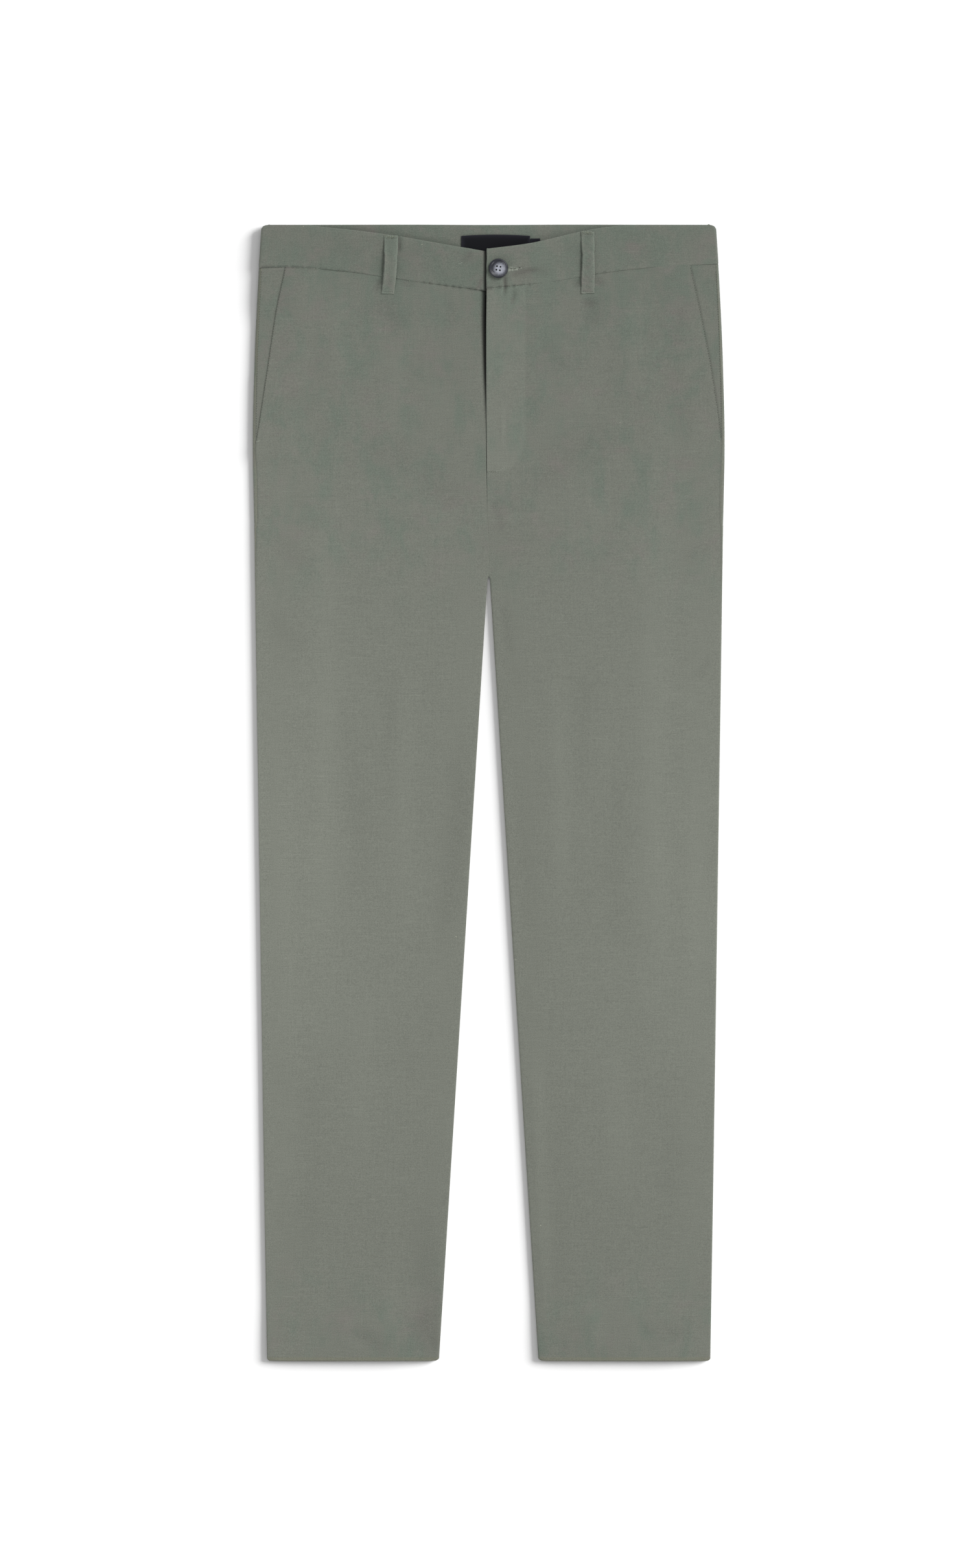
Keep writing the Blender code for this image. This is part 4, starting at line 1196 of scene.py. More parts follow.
# How far a stitch's points stand off the cloth.
STITCH_ARCH = np.array([-0.16, 0.08, 0.15, 0.08, -0.16])
TACK_ARCH = STITCH_ARCH * 1.4 + 0.05
PLACES_PER_STITCH = 20


def resampled(line, pitch):
    """A line's points again, pitch apart."""
    line = np.array(line, float)
    run = np.concatenate([[0.0], np.cumsum(np.linalg.norm(np.diff(line, axis=0), axis=1))])
    places = np.arange(0.0, run[-1], pitch)
    return np.column_stack([np.interp(places, run, line[:, axis]) for axis in range(2)])


def running_stitch(surface, line, pitch, share, seed, stray=0.06, kept=1.0):
    """The strands of a row of stitches along a line. share is how much of the pitch a stitch covers."""
    rng = np.random.default_rng(seed)
    places = resampled(line, pitch / PLACES_PER_STITCH)
    length = int(PLACES_PER_STITCH * share)
    strands = []
    for start in range(0, len(places) - length, PLACES_PER_STITCH):
        part = np.linspace(0.0, 1.0, len(STITCH_ARCH))[:, None]
        picked = mix(places[start], places[start + length], part) + rng.normal(0.0, stray, 2)
        if rng.random() < kept:
            strands.append(surface.strand(picked, STITCH_ARCH * rng.uniform(0.7, 1.2)))
    return strands


def bar_tack(surface, start, end, breadth, seed, pitch=0.42, kept=1.0):
    """The strands of a bar tack: close stitches to and fro across a short line."""
    rng = np.random.default_rng(seed)
    start, end = np.array(start), np.array(end)
    length = np.linalg.norm(end - start)
    ahead = (end - start) / length
    aside = np.array([-ahead[1], ahead[0]])
    strands = []
    for number in range(int(length / pitch)):
        slant = ahead * pitch * (0.5 if number % 2 else -0.5)
        reach = aside * breadth / 2.0 * rng.uniform(0.75, 1.15) + slant
        picked = start + ahead * (number + 0.5) * pitch + reach * np.linspace(-1.0, 1.0, 5)[:, None]
        if rng.random() < kept:
            strands.append(surface.strand(picked, TACK_ARCH))
    return strands


def loose_fibres(surface, start, end, count, length, seed):
    """Fine fibres that curl off a raw edge between two points."""
    rng = np.random.default_rng(seed)
    start, end = np.array(start), np.array(end)
    strands = []
    for _ in range(count):
        root = mix(start, end, rng.uniform(0.0, 1.0))
        turn = rng.uniform(0.0, 2.0 * math.pi)
        bend = rng.uniform(-1.4, 1.4)
        reach = rng.uniform(0.4, 1.0) * length
        steps = np.linspace(0.0, 1.0, len(STITCH_ARCH))
        angles = turn + bend * steps
        places = root + np.column_stack([np.cos(angles), np.sin(angles)]) * (steps * reach)[:, None]
        strands.append(surface.strand(places, 0.12 + 0.25 * np.sin(math.pi * steps)))
    return strands


# ---- Materials. ----


def linear(channel):
    """A screen colour's channel as a share of light."""
    share = channel / 255.0
    return share / 12.92 if share <= 0.04045 else ((share + 0.055) / 1.055) ** 2.4


def colour(red, green, blue):
    return (linear(red), linear(green), linear(blue), 1.0)


class Graph:
    """A material whose nodes are made and joined by short calls."""

    def __init__(self, name, roughness, shift=(0.0, 0.0, 0.0), **inputs):
        self.material = bpy.data.materials.new(name)
        self.material.use_nodes = True
        self.tree = self.material.node_tree
        self.shader = self.tree.nodes["Principled BSDF"]
        self.shader.inputs["Roughness"].default_value = roughness
        for socket, value in inputs.items():
            self.shader.inputs[socket.replace("_", " ")].default_value = value
        self.here = self.node("ShaderNodeTexCoord", {}, "Object")
        in_mm = self.vector("MULTIPLY", self.here, (1.0 / MILLIMETRE,) * 3)
        self.place = self.vector("ADD", in_mm, shift)

    def node(self, kind, values, output, **settings):
        made = self.tree.nodes.new(kind)
        for setting, value in settings.items():
            setattr(made, setting, value)
        for socket, value in values.items():
            if isinstance(value, bpy.types.NodeSocket):
                self.tree.links.new(value, made.inputs[socket])
            else:
                made.inputs[socket].default_value = value
        return made.outputs[output]

    def vector(self, operation, first, second):
        return self.node("ShaderNodeVectorMath", {0: first, 1: second}, 0, operation=operation)

    def maths(self, operation, first, second=0.0, third=0.0):
        return self.node("ShaderNodeMath", {0: first, 1: second, 2: third}, 0, operation=operation)

    def times(self, first, second):
        return self.maths("MULTIPLY", first, second)

    def axis(self, name):
        return self.node("ShaderNodeSeparateXYZ", {0: self.place}, name)

    def height_here(self):
        """The garment's own Y, in millimetres."""
        return self.times(self.node("ShaderNodeSeparateXYZ", {0: self.here}, "Y"), 1.0 / MILLIMETRE)

    def noise(self, per_mm, detail=2.0, roughness=0.5, distortion=0.0):
        """Noise with this many grains to a millimetre along each axis."""
        values = {
            "Vector": self.vector("MULTIPLY", self.place, per_mm),
            "Scale": 1.0,
            "Detail": detail,
            "Roughness": roughness,
            "Distortion": distortion,
        }
        return self.node("ShaderNodeTexNoise", values, "Fac")

    def specks(self, apart, radius):
        """1 in small spots that lie about this far apart, in millimetres."""
        values = {"Vector": self.place, "Scale": 1.0 / apart}
        away = self.times(self.node("ShaderNodeTexVoronoi", values, "Distance"), apart)
        return self.maths("SUBTRACT", 1.0, self.between(away, radius * 0.5, radius))

    def about(self, value, amount, middle=0.5):
        """amount times how far a value lies from its middle."""
        return self.maths("MULTIPLY_ADD", value, amount, -amount * middle)

    def total(self, *values):
        result = values[0]
        for value in values[1:]:
            result = self.maths("ADD", result, value)
        return result

    def between(self, value, low, high):
        """0 where a value is low, 1 where it is high, and an even curve between."""
        values = {"Value": value, "From Min": low, "From Max": high}
        return self.node("ShaderNodeMapRange", values, "Result", interpolation_type="SMOOTHSTEP")

    def mixed(self, part, first, second):
        return self.node("ShaderNodeMix", {0: part, 6: first, 7: second}, 2, data_type="RGBA")

    def brightened(self, base, factor):
        return self.node("ShaderNodeHueSaturation", {"Color": base, "Value": factor}, "Color")

    def marked(self, name):
        """What mark() left on the piece's points under this name."""
        return self.node("ShaderNodeAttribute", {}, "Fac", attribute_name=name)

    def bump(self, height, distance, strength=1.0):
        values = {"Height": height, "Distance": distance * MILLIMETRE, "Strength": strength}
        self.tree.links.new(self.node("ShaderNodeBump", values, "Normal"), self.shader.inputs["Normal"])

    def paint(self, base):
        self.tree.links.new(base, self.shader.inputs["Base Color"])


# The cloth is mottled with green and brown at the waist and the hems, and plain about the knees.
MOTTLE_KNEE_Y = -130.0
MOTTLE_FADES = (270.0, 385.0)
GREEN_SHOWS = (0.44, 0.69)
BROWN_SHOWS = (0.50, 0.745)
WAIST_FROM_KNEE = (500.0, 640.0)
WAIST_GREENS = 0.10
# In a crease the painted shade also makes the cloth browner, and on a ridge less brown.
CREASE_SHADE_BROWNS = 0.30
# Along the hems' fold the cloth is rubbed to an olive tone.
OLIVE_HEM_Y = (HEM_Y + 2.6, HEM_Y + 5.0)
OLIVE_SHARE = 0.5
PLAIN_LINEN = colour(105.8, 108.8, 100.2)
GREEN_LINEN = colour(98.6, 106.6, 96.9)
BROWN_LINEN = colour(109.0, 108.2, 101.8)
OLIVE_LINEN = colour(110.0, 110.0, 94.0)
PALE_FIBRE = colour(150, 152, 136)

THREADS_PER_MM = 1.9
# The grains to a millimetre of the yarns that run level, and of those that run upright, by the warp's way.
YARN_GRAINS = {
    "upright": ((0.07, 1.5, 0.3), (1.4, 0.06, 0.3)),
    "level": ((0.06, 1.4, 0.3), (1.5, 0.07, 0.3)),
}
YARN_NOISE = (3.0, 0.55)
# The linen's other noises: grains to a millimetre along each axis, detail, roughness and distortion.
LINEN_NOISES = {
    "grain": ((1.15, 1.2, 0.5), 2.0, 0.75),
    "slub": ((0.035, 0.85, 0.3), 1.0),
    "upright_slub": ((0.8, 0.03, 0.3), 1.0),
    "cloudy": ((0.012, 0.009, 0.01), 2.0, 0.5),
    "patchy": ((0.028, 0.034, 0.03), 4.0, 0.62, 0.5),
    "green": ((0.043, 0.024, 0.04), 5.0, 0.66, 0.3),
    "brown": ((0.03, 0.04, 0.03), 5.0, 0.68, 0.4),
}
SLUBS_SHOW = {"slub": (0.66, 0.8), "upright_slub": (0.69, 0.82)}
NEPS = (34.0, 0.75)
NEPS_SHOW = (0.45, 0.6)
# How much each part of the look lightens the cloth, and the value at which it does nothing.
LIGHTENS = {
    "level_yarn": (0.26, 0.5),
    "upright_yarn": (0.17, 0.5),
    "grain": (0.92, 0.5),
    "weave": (0.05, 0.5),
    "slub": (0.10, 0.0),
    "upright_slub": (0.05, 0.0),
    "cloudy": (0.06, 0.5),
    "patchy": (0.10, 0.0),
    # The painted shade of creases: darker in a trough, lighter on a ridge.
    CREASE_SHADE: (-0.10, 0.0),
}
# How much each part stands out of the cloth, as shares of WEAVE_DEPTH.
STANDS_OUT = {"weave": 0.5, "level_yarn": 0.8, "upright_yarn": 0.6, "slub": 0.5}
WEAVE_DEPTH = 0.10
WEAVE_STRENGTH = 0.6


def woven(graph):
    """The over and under of a plain weave, from 0 to 1."""
    rate = math.pi * THREADS_PER_MM
    over, under = [graph.maths("SINE", graph.times(graph.axis(axis), rate)) for axis in "XY"]
    return graph.maths("MULTIPLY_ADD", graph.times(over, under), 0.5, 0.5)


def linen(name, shift, lightness=1.0, warp="upright", edge_lightening=0.02, olive=0.0):
    """Linen: a plain weave of uneven threads with slubs and neps, mottled with green and brown.

    warp is the way its warp runs, and the last two arguments tell how much lighter and how olive its edges
    are;
    on the belt loops the lighter edges are a painted highlight along their folds.
    """
    graph = Graph(name, 0.88, shift, Sheen_Weight=0.1, Sheen_Roughness=0.6, Specular_IOR_Level=0.25)
    look = {part: graph.noise(*kind) for part, kind in LINEN_NOISES.items()}
    for part, per_mm in zip(("level_yarn", "upright_yarn"), YARN_GRAINS[warp]):
        look[part] = graph.noise(per_mm, *YARN_NOISE)
    for part, shows in SLUBS_SHOW.items():
        look[part] = graph.between(look[part], *shows)
    from_knee = graph.maths("ABSOLUTE", graph.maths("ADD", graph.height_here(), -MOTTLE_KNEE_Y))
    handled = graph.between(from_knee, *MOTTLE_FADES)
    look["patchy"] = graph.times(handled, graph.about(look["patchy"], 1.0))
    look["weave"] = woven(graph)
    look[CREASE_SHADE] = graph.marked(CREASE_SHADE)
    lightened = [graph.about(look[part], *amount) for part, amount in LIGHTENS.items()]
    # Lighter edges: wear, and on the belt loops a painted highlight along their folds.
    lit_and_worn_edges = graph.times(graph.marked(WEAR_AND_HIGHLIGHT), graph.maths("ADD", look["grain"], 0.5))
    value = graph.total(*lightened, graph.about(lit_and_worn_edges, edge_lightening, 0.0), lightness)
    # Painted shade: the cloth is darkened where its points are marked with it.
    value = graph.times(value, graph.maths("SUBTRACT", 1.0, graph.marked(PAINTED_SHADE)))

    at_waist = graph.about(graph.between(from_knee, *WAIST_FROM_KNEE), WAIST_GREENS, 0.0)
    green = graph.between(graph.total(look["green"], at_waist), *GREEN_SHOWS)
    brown = graph.between(look["brown"], *BROWN_SHOWS)
    brown = graph.total(brown, graph.about(look[CREASE_SHADE], CREASE_SHADE_BROWNS, 0.0))
    off_fold = graph.between(graph.height_here(), *OLIVE_HEM_Y)
    at_fold = graph.maths("MULTIPLY_ADD", off_fold, -OLIVE_SHARE, OLIVE_SHARE)
    at_edges = graph.times(graph.marked(WEAR_AND_HIGHLIGHT), olive)
    nep = graph.times(graph.specks(*NEPS), graph.between(look["grain"], *NEPS_SHOW))
    tone = graph.mixed(graph.times(green, handled), PLAIN_LINEN, GREEN_LINEN)
    tone = graph.mixed(graph.times(brown, handled), tone, BROWN_LINEN)
    tone = graph.mixed(graph.maths("MAXIMUM", at_fold, at_edges), tone, OLIVE_LINEN)
    tone = graph.mixed(nep, tone, PALE_FIBRE)
    graph.paint(graph.brightened(tone, value))
    height = graph.total(*(graph.about(look[part], share, 0.0) for part, share in STANDS_OUT.items()))
    graph.bump(height, WEAVE_DEPTH, WEAVE_STRENGTH)
    return graph.material


def sewing_thread(name, base):
    """Twisted thread: fine slanting ridges and a slight shine."""
    graph = Graph(name, 0.62, Specular_IOR_Level=0.35, Sheen_Weight=0.1)
    twist = graph.noise((3.0, 3.0, 3.0), 1.0)
    graph.paint(graph.brightened(base, graph.maths("ADD", graph.about(twist, 0.35), 1.0)))
    graph.bump(twist, 0.06, 0.6)
    return graph.material


LABEL_NAVY = colour(11, 12, 17)
LABEL_WORN = colour(90, 90, 104)
LABEL_WORN_SHARE = 0.12
RIB_PITCH = 0.35


def satin_label(name):
    """A woven label: fine ribs across a dark satin."""
    graph = Graph(name, 0.7, Sheen_Weight=0.02, Sheen_Roughness=0.4, Specular_IOR_Level=0.15)
    rib = graph.maths("SINE", graph.times(graph.axis("Y"), 2.0 * math.pi / RIB_PITCH))
    uneven = graph.noise((0.5, 2.5, 1.0), 2.0)
    value = graph.total(graph.about(rib, 0.06, 0.0), graph.about(uneven, 0.5), 1.0)
    edge_lightening = graph.mixed(graph.times(graph.marked(WEAR_AND_HIGHLIGHT), LABEL_WORN_SHARE), LABEL_NAVY, LABEL_WORN)
    graph.paint(graph.brightened(edge_lightening, value))
    graph.bump(graph.total(graph.about(rib, 0.5, 0.0), uneven), 0.05, 0.5)
    return graph.material


BUTTON_SLATE = colour(33, 35, 43)
BUTTON_PALE = colour(163, 166, 176)
# The pale middle's own middle, as its shift from the button's, and the radii between which it fades.
BUTTON_PALE_SHIFT = (-1.5, 0.3, 0.0)
BUTTON_PALE_FADES = (2.6, 7.4)
BUTTON_SWIRL = ((0.28, 0.34, 0.3), 4.0, 0.6, 1.6)
BUTTON_SWIRL_REACH = 2.6
BUTTON_CLOUDS = ((0.9, 0.7, 0.8), 3.0, 0.6, 0.8)


def marbled_button(name):
    """Polished resin: dark slate at the rim, and a pale clouded middle that lies a little off centre."""
    graph = Graph(name, 0.38, BUTTON_PALE_SHIFT, Coat_Weight=0.15, Coat_Roughness=0.2, Specular_IOR_Level=0.4)
    flat = graph.vector("MULTIPLY", graph.place, (1.0, 1.0, 0.0))
    distance = graph.node("ShaderNodeVectorMath", {0: flat}, "Value", operation="LENGTH")
    swirl = graph.noise(*BUTTON_SWIRL)
    clouds = graph.noise(*BUTTON_CLOUDS)
    fading = graph.between(graph.total(distance, graph.about(swirl, BUTTON_SWIRL_REACH)), *BUTTON_PALE_FADES)
    middle = graph.maths("SUBTRACT", 1.0, fading)
    pale = graph.times(middle, graph.maths("ADD", graph.about(clouds, 0.7), 0.9))
    base = graph.mixed(pale, BUTTON_SLATE, BUTTON_PALE)
    graph.paint(graph.brightened(base, graph.maths("ADD", graph.about(clouds, 0.35), 1.0)))
    return graph.material


FLOOR_TONES = ((0.91, 0.91, 0.91, 1.0), (0.89, 0.89, 0.89, 1.0))


def pale_floor(name):
    """Matt paper, a shade uneven."""
    graph = Graph(name, 0.95, Specular_IOR_Level=0.0)
    graph.paint(graph.mixed(graph.noise((0.01, 0.01, 0.01)), *FLOOR_TONES))
    return graph.material


# ---- The garment. ----

# Every piece of linen is its own cut of the cloth, so it has its own place in the pattern. Then come its
# lightness and the way of its warp, and how much lighter and how olive its edges are. The lightness holds
# painted light and shade: the waistband's half on the wearer's left is painted lighter than the other, as
# it lies towards the light. The loops' lighter edges are a painted highlight along their folds.
LINEN_CUTS = {
    "front_left": ((310.0, 40.0, 0.0), 1.0, "upright"),
    "front_right": ((0.0, 0.0, 50.0), 1.0, "upright"),
    "back_left": ((90.0, -210.0, 200.0), 1.0, "upright", -0.04, 0.35),
    "back_right": ((-140.0, 330.0, 120.0), 1.0, "upright", -0.02, 0.5),
    "facings": ((420.0, -90.0, 0.0), 1.005, "upright"),
    "band_left": ((-60.0, 510.0, 30.0), 1.01, "level", 0.05),
    "band_right": ((220.0, -370.0, 70.0), 0.965, "level", 0.05),
    "loops": ((35.0, 75.0, 10.0), 0.955, "upright", 0.30),
}
linens = {name: linen(f"linen_{name}", *cut) for name, cut in LINEN_CUTS.items()}
# The radius and the look of each kind of thread.
THREADS = {
    "quiet": (0.16, sewing_thread("thread_dark_shade", colour(66, 70, 60))),
    "bright": (0.15, sewing_thread("thread_light", colour(132, 138, 122))),
    "pale": (0.14, sewing_thread("thread_pale", colour(164, 170, 158))),
}
tape = sewing_thread("zip_coil", colour(72, 76, 68))
navy = satin_label("label_satin")
resin = marbled_button("button_resin")


def stand_for(piece, node):
    """The piece rides on the garment's one body, in its CAD node's place."""
    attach(piece, "root")
    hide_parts(node)
    return piece


left_half, right_half = Half("left"), Half("right")
pieces = []
for half in (left_half, right_half):
    side = half.name
    for make, cut, node in (
        (back_panel, f"back_{side}", f"back_panel_{side}"),
        (front_panel, f"front_{side}", f"front_panel_{side}"),
        (pocket_facing, "facings", f"pocket_facing_{side}"),
        (waistband, f"band_{side}", f"waistband_{side}"),
        (front_belt_loop, "loops", f"belt_loop_front_{side}"),
    ):
        pieces.append(stand_for(make(half, linens[cut]), node))
for node in ("belt_loop_back_left", "belt_loop_back_right", "belt_loop_back_centre"):
    pieces.append(stand_for(back_belt_loop(node, linens["loops"]), node))
pieces.append(stand_for(fly_shield(left_half, right_half, linens["facings"]), "fly_shield"))
zip_tape, zip_teeth = fly_zip(left_half, tape)
pieces.append(stand_for(zip_tape, "fly_zip"))
pieces.append(stand_for(sewn_label("label_main", "woven_label", 1.2, navy), "label_main"))
pieces.append(stand_for(sewn_label("label_size", "woven_tab", 0.0, navy), "label_size"))
stand_for(waist_button(left_half, resin), "waist_button")

# What shows of each cloth's cut, laid out flat: its width, length and area in metres, and what it rests on.
SHEETS = {
    "front_left": (0.223, 1.018, 0.196, ["back_left"]),
    "front_right": (0.221, 1.016, 0.195, ["back_right"]),
    "back_left": (0.223, 1.018, 0.201, []),
    "back_right": (0.223, 1.015, 0.200, []),
    "facing_left": (0.044, 0.174, 0.0046, ["back_left"]),
    "facing_right": (0.044, 0.170, 0.0046, ["back_right"]),
    "band_left": (0.044, 0.433, 0.0164, ["back_left"]),
    "band_right": (0.044, 0.465, 0.0184, ["back_right"]),
    "loop_front_left": (0.014, 0.059, 0.00075, ["band_left", "front_left"]),
    "loop_front_right": (0.014, 0.056, 0.00072, ["band_right", "front_right"]),
    "loop_back_left": (0.0128, 0.0532, 0.00068, []),
    "loop_back_right": (0.0128, 0.0532, 0.00068, []),
    "loop_back_centre": (0.0128, 0.0532, 0.00068, []),
    "shield": (0.046, 0.163, 0.0075, ["back_left", "back_right"]),
    "zip_tape": (0.024, 0.156, 0.0037, ["shield"]),
    "woven_label": (0.064, 0.0252, 0.00155, ["band_left", "band_right"]),
    "woven_tab": (0.0101, 0.0141, 0.00013, ["band_left"]),
}
for piece in pieces:
    width, length, area, rests_on = SHEETS[piece.name]


def sewn_on(name, strands, radius, material):
    thread = tubes(name, strands, radius, material)
    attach(thread, "root")


surface = Surface(pieces)


def waist_seam_line(half, below, ends):
    across = np.linspace(*ends, 200)
    return np.column_stack([half.sign * across, half.waist_seam(np.abs(across)) - below])


def mouth_line(half, inward):
    height = np.linspace(POCKET_END_Y + 3.0, hip_height(half.waist_seam(MOUTH_ACROSS), 1.0) - 1.5, 120)
    return np.column_stack([half.sign * (half.pocket_mouth(height) - inward), height])


def side_line(half, inward):
    height = np.linspace(POCKET_END_Y + 4.0, 485.0, 120)
    across = leg_outline(height, False) - side_seam_inset(height) - inward
    return np.column_stack([half.sign * across, height])


def fly_line():
    """The fly's stitching: straight down, round the curve, and in to the centre."""
    straight = np.linspace(FLY_STITCH_TOP_Y, FLY_STITCH_CURVE_TOP_Y, 60)
    curve = np.linspace(0.0, math.pi / 2.0, 30)[1:]
    curve_x = FLY_STITCH_CURVE_X + (FLY_STITCH_X - FLY_STITCH_CURVE_X) * np.cos(curve)
    curve_y = FLY_STITCH_CURVE_TOP_Y - (FLY_STITCH_CURVE_TOP_Y - FLY_END_Y) * np.sin(curve)
    x = np.concatenate([np.full_like(straight, FLY_STITCH_X), curve_x, [FLY_STITCH_END_X]])
    return np.column_stack([x, np.concatenate([straight, curve_y, [FLY_END_Y]])])


def hem_line(half):
    height = HEM_Y + HEM_DEPTH
    ends = (inner_edge(height) + 6.0, half_width(height) - 6.0)
    return np.array([(half.sign * ends[0], height), (half.sign * ends[1], height)])


# Where the waist seam's stitches show, by the distance from the centre line.
WAIST_STITCHES = {"right": ((4.0, 56.0), (112.0, 206.0)), "left": ((4.0, 50.0), (97.0, 126.0))}

# This thread is real stitching, painted darker than the garment's tone as the shade in its stitch holes.
strands = {"quiet": [], "bright": [], "pale": []}
for number, half in enumerate((left_half, right_half)):
    strands["quiet"] += running_stitch(surface, mouth_line(half, 0.5), 2.3, 0.6, 40 + number)
    strands["quiet"] += running_stitch(surface, side_line(half, 0.8), 2.3, 0.6, 50 + number)
    for ends in WAIST_STITCHES[half.name]:
        line = waist_seam_line(half, 0.0, ends)
        strands["quiet"] += running_stitch(surface, line, 1.5, 0.4, 60 + number, 0.08, 0.75)
    strands["bright"] += running_stitch(surface, hem_line(half), 6.5, 0.12, 70 + number, 0.35, 0.55)
    top, foot, top_width, foot_width = FRONT_LOOPS[half.name]
    for (across, height), width, inward in ((top, top_width, -2.4), (foot, foot_width, 1.7)):
        reach = width / 2.0 - 1.0
        ends = [(half.sign * (across + reach * end), height + inward) for end in (-1.0, 1.0)]
        strands["quiet"] += running_stitch(surface, ends, 1.5, 0.6, 80 + number)
    top_ends = [(half.sign * (top[0] + 5.5 * end), top[1] - 0.8) for end in (-1.0, 1.0)]
    strands["bright"] += bar_tack(surface, *top_ends, 1.0, 90 + number, 0.8, 0.45)
    strands["bright"] += loose_fibres(surface, *top_ends, 12, 2.6, 95 + number)
# What is sewn only once: the thread, the function that sews it, and what that takes after the surface.
SEWN_ONCE = (
    ("bright", running_stitch, fly_line(), 2.4, 0.4, 30, 0.1, 0.15),
    ("quiet", running_stitch, [(-1.8, 297.4), (8.0, 297.4)], 1.9, 0.7, 37, 0.08),
    ("bright", running_stitch, waist_seam_line(left_half, 0.5, (28.0, 52.0)), 1.5, 0.5, 42, 0.15, 0.6),
    ("bright", running_stitch, waist_seam_line(right_half, 0.4, (56.0, 74.0)), 1.7, 0.7, 43, 0.1, 0.8),
    ("pale", running_stitch, [(-1.4, 296.3), (3.6, 296.4)], 1.9, 0.4, 41, 0.1),
    ("pale", running_stitch, [(6.4, 297.9), (9.5, 298.6), (15.0, 301.4)], 1.6, 0.7, 31, 0.12),
    ("bright", bar_tack, (0.6, 524.3), (9.2, 524.7), 1.6, 32, 0.5),
    ("pale", bar_tack, (-215.2, 325.2), (-210.8, 326.8), 0.9, 33, 0.6),
    ("pale", bar_tack, (210.6, 327.2), (214.2, 325.8), 0.9, 34, 0.6),
    ("pale", bar_tack, (17.6, 486.9), (30.8, 486.0), 1.5, 35, 0.36, 0.72),
    ("pale", bar_tack, (17.6, 483.2), (27.5, 484.9), 2.0, 36, 0.36, 0.62),
    ("pale", bar_tack, (17.4, 484.8), (20.5, 484.8), 4.2, 39, 0.4, 0.8),
    ("pale", loose_fibres, (18.0, 484.6), (27.0, 485.6), 26, 1.8, 38),
    ("pale", bar_tack, (-28.6, 489.8), (-24.0, 491.4), 0.8, 38, 0.9, 0.8),
)
for thread, sew, *how in SEWN_ONCE:
    strands[thread] += sew(surface, *how)
for thread, (radius, material) in THREADS.items():
    sewn_on(f"stitches_{thread}", strands[thread], radius, material)
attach(zip_teeth, "root")

# ---- Stage, light and camera. ----

VIEW_CENTRE = (1.2, 8.4)
VIEW_HEIGHT = 1452.0
VIEW_DISTANCE = 14000.0
SENSOR = 36.0
CLOTH_LEVEL = 5.0
FLOOR_LEVEL = -0.3
FLOOR_SIZE = 6000.0
ROOM_LIGHT = 0.5
# Each sun's azimuth, elevation, strength and breadth, in degrees but for its strength.
GARMENT_SUN = (46.0, 41.0, 2.24, 30.0)
FLOOR_SUN = (20.0, 16.0, 8.8, 38.0)
# Each soft box's place, strength, and length and breadth in metres.
SOFT_BOXES = {
    "soft_box_left": ((-618.0, -60.0, 350.0), 1.6, (0.35, 0.35)),
    "soft_box_right": ((670.0, -97.0, 350.0), 2.0, (0.35, 0.35)),
    "soft_box_edge": ((-425.0, -60.0, 140.0), 0.22, (1.1, 0.15)),
    "soft_box_foot": ((60.0, -760.0, 260.0), 0.08, (0.5, 0.2)),
}


def make_floor():
    corners = [(-1, -1), (1, -1), (1, 1), (-1, 1)]
    points = [Vector((x * FLOOR_SIZE, y * FLOOR_SIZE, FLOOR_LEVEL)) * MILLIMETRE for x, y in corners]
    mesh = bpy.data.meshes.new("floor")
    mesh.from_pydata(points, [], [(0, 1, 2, 3)])
    mesh.materials.append(pale_floor("floor_paint"))
    made = placed("floor", mesh)
    return made


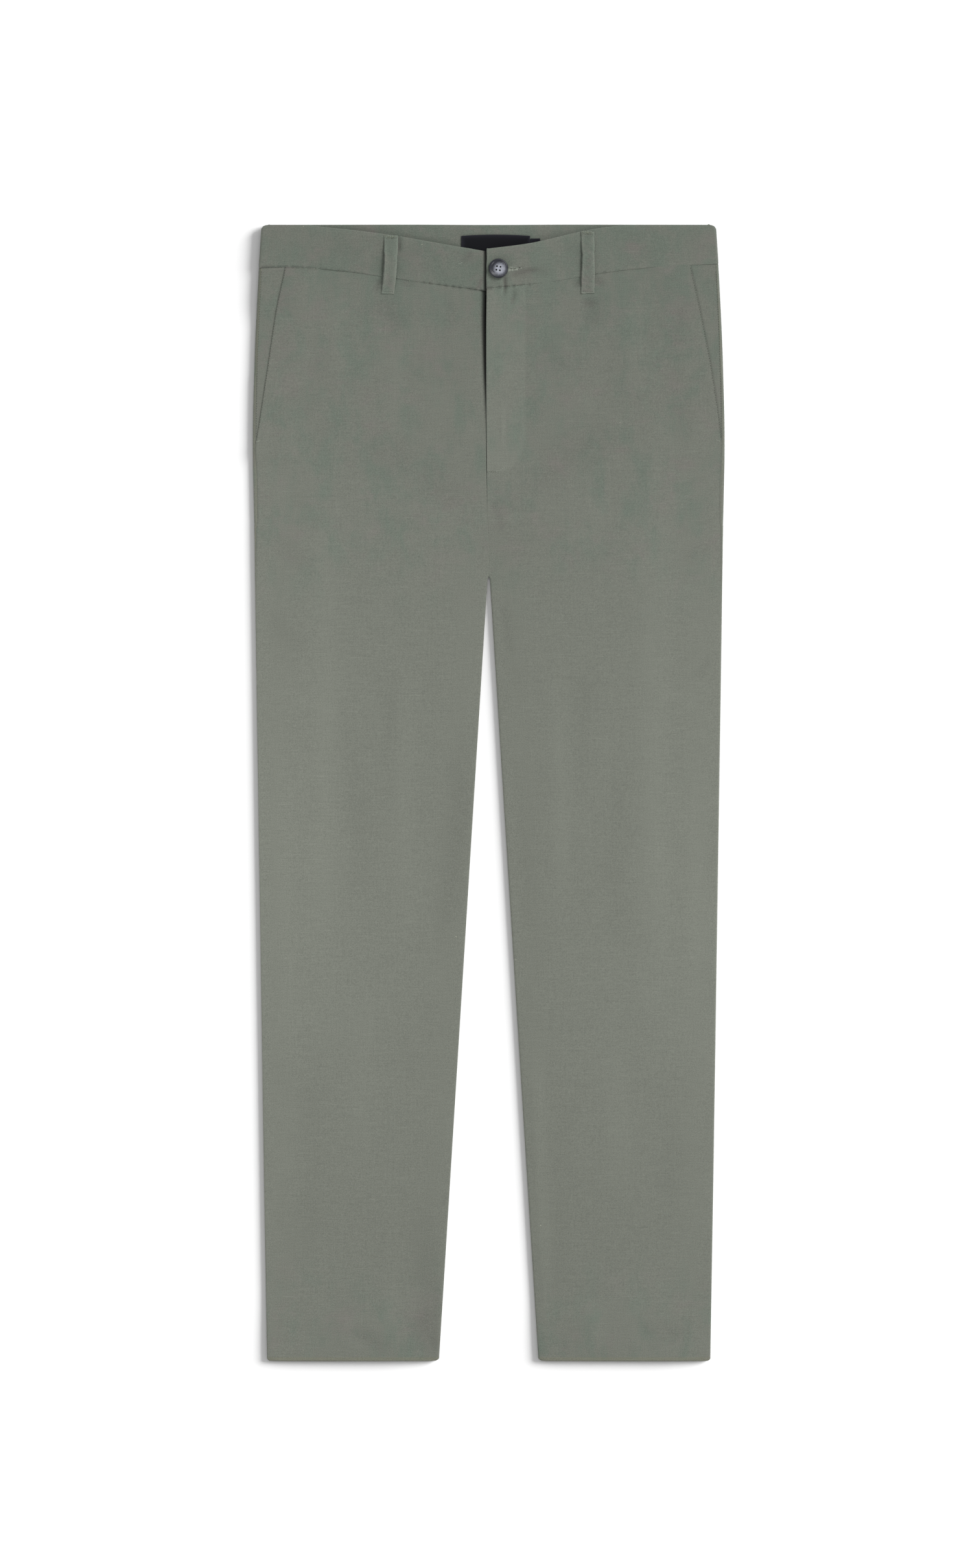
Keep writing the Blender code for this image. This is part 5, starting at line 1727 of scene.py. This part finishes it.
def make_room():
    """Even light from all sides, in front of a white backdrop."""
    world = bpy.data.worlds.new("pale_room")
    world.use_nodes = True
    tree = world.node_tree
    background = tree.nodes["Background"]
    background.inputs["Strength"].default_value = ROOM_LIGHT
    backdrop = tree.nodes.new("ShaderNodeBackground")
    backdrop.inputs["Strength"].default_value = 1.0
    seen = tree.nodes.new("ShaderNodeLightPath")
    either = tree.nodes.new("ShaderNodeMixShader")
    tree.links.new(seen.outputs["Is Camera Ray"], either.inputs[0])
    tree.links.new(background.outputs[0], either.inputs[1])
    tree.links.new(backdrop.outputs[0], either.inputs[2])
    tree.links.new(either.outputs[0], tree.nodes["World Output"].inputs["Surface"])
    for shader in (background, backdrop):
        shader.inputs["Color"].default_value = (1.0, 1.0, 1.0, 1.0)
    bpy.context.scene.world = world


def add_light(name, kind, place, energy, receivers, **settings):
    """A lamp that looks at the garment's middle and lights only its receivers."""
    data = bpy.data.lights.new(name, kind)
    data.energy = energy
    for setting, value in settings.items():
        setattr(data, setting, value)
    lamp = placed(name, data)
    lamp.location = Vector(place) * MILLIMETRE
    lamp.rotation_euler = (-Vector(place)).to_track_quat("-Z", "Y").to_euler()
    lamp.visible_camera = False
    lamp.light_linking.receiver_collection = receivers
    return lamp


def towards(azimuth, elevation, distance=2000.0):
    azimuth, elevation = math.radians(azimuth), math.radians(elevation)
    flat = distance * math.cos(elevation)
    return (flat * math.cos(azimuth), flat * math.sin(azimuth), distance * math.sin(elevation))


def make_camera():
    data = bpy.data.cameras.new("camera")
    data.sensor_width = SENSOR
    data.lens = SENSOR * VIEW_DISTANCE / VIEW_HEIGHT
    data.clip_end = 100.0
    camera = placed("camera", data)
    camera.location = Vector((*VIEW_CENTRE, VIEW_DISTANCE + CLOTH_LEVEL)) * MILLIMETRE
    bpy.context.scene.camera = camera


floor = make_floor()
lit_floor = bpy.data.collections.new("lit_floor")
lit_floor.objects.link(floor)
lit_garment = bpy.data.collections.new("lit_garment")
for shown in [thing for thing in bpy.context.scene.objects if thing.type == "MESH" and thing != floor]:
    lit_garment.objects.link(shown)
make_room()
for name, sun, receivers in (("floor_sun", FLOOR_SUN, lit_floor), ("garment_sun", GARMENT_SUN, lit_garment)):
    azimuth, elevation, strength, breadth = sun
    add_light(name, "SUN", towards(azimuth, elevation), strength, receivers, angle=math.radians(breadth))
for name, (place, strength, (length, breadth)) in SOFT_BOXES.items():
    add_light(name, "AREA", place, strength, lit_garment, shape="RECTANGLE", size=length, size_y=breadth)
make_camera()
bpy.context.scene.view_settings.view_transform = "Standard"
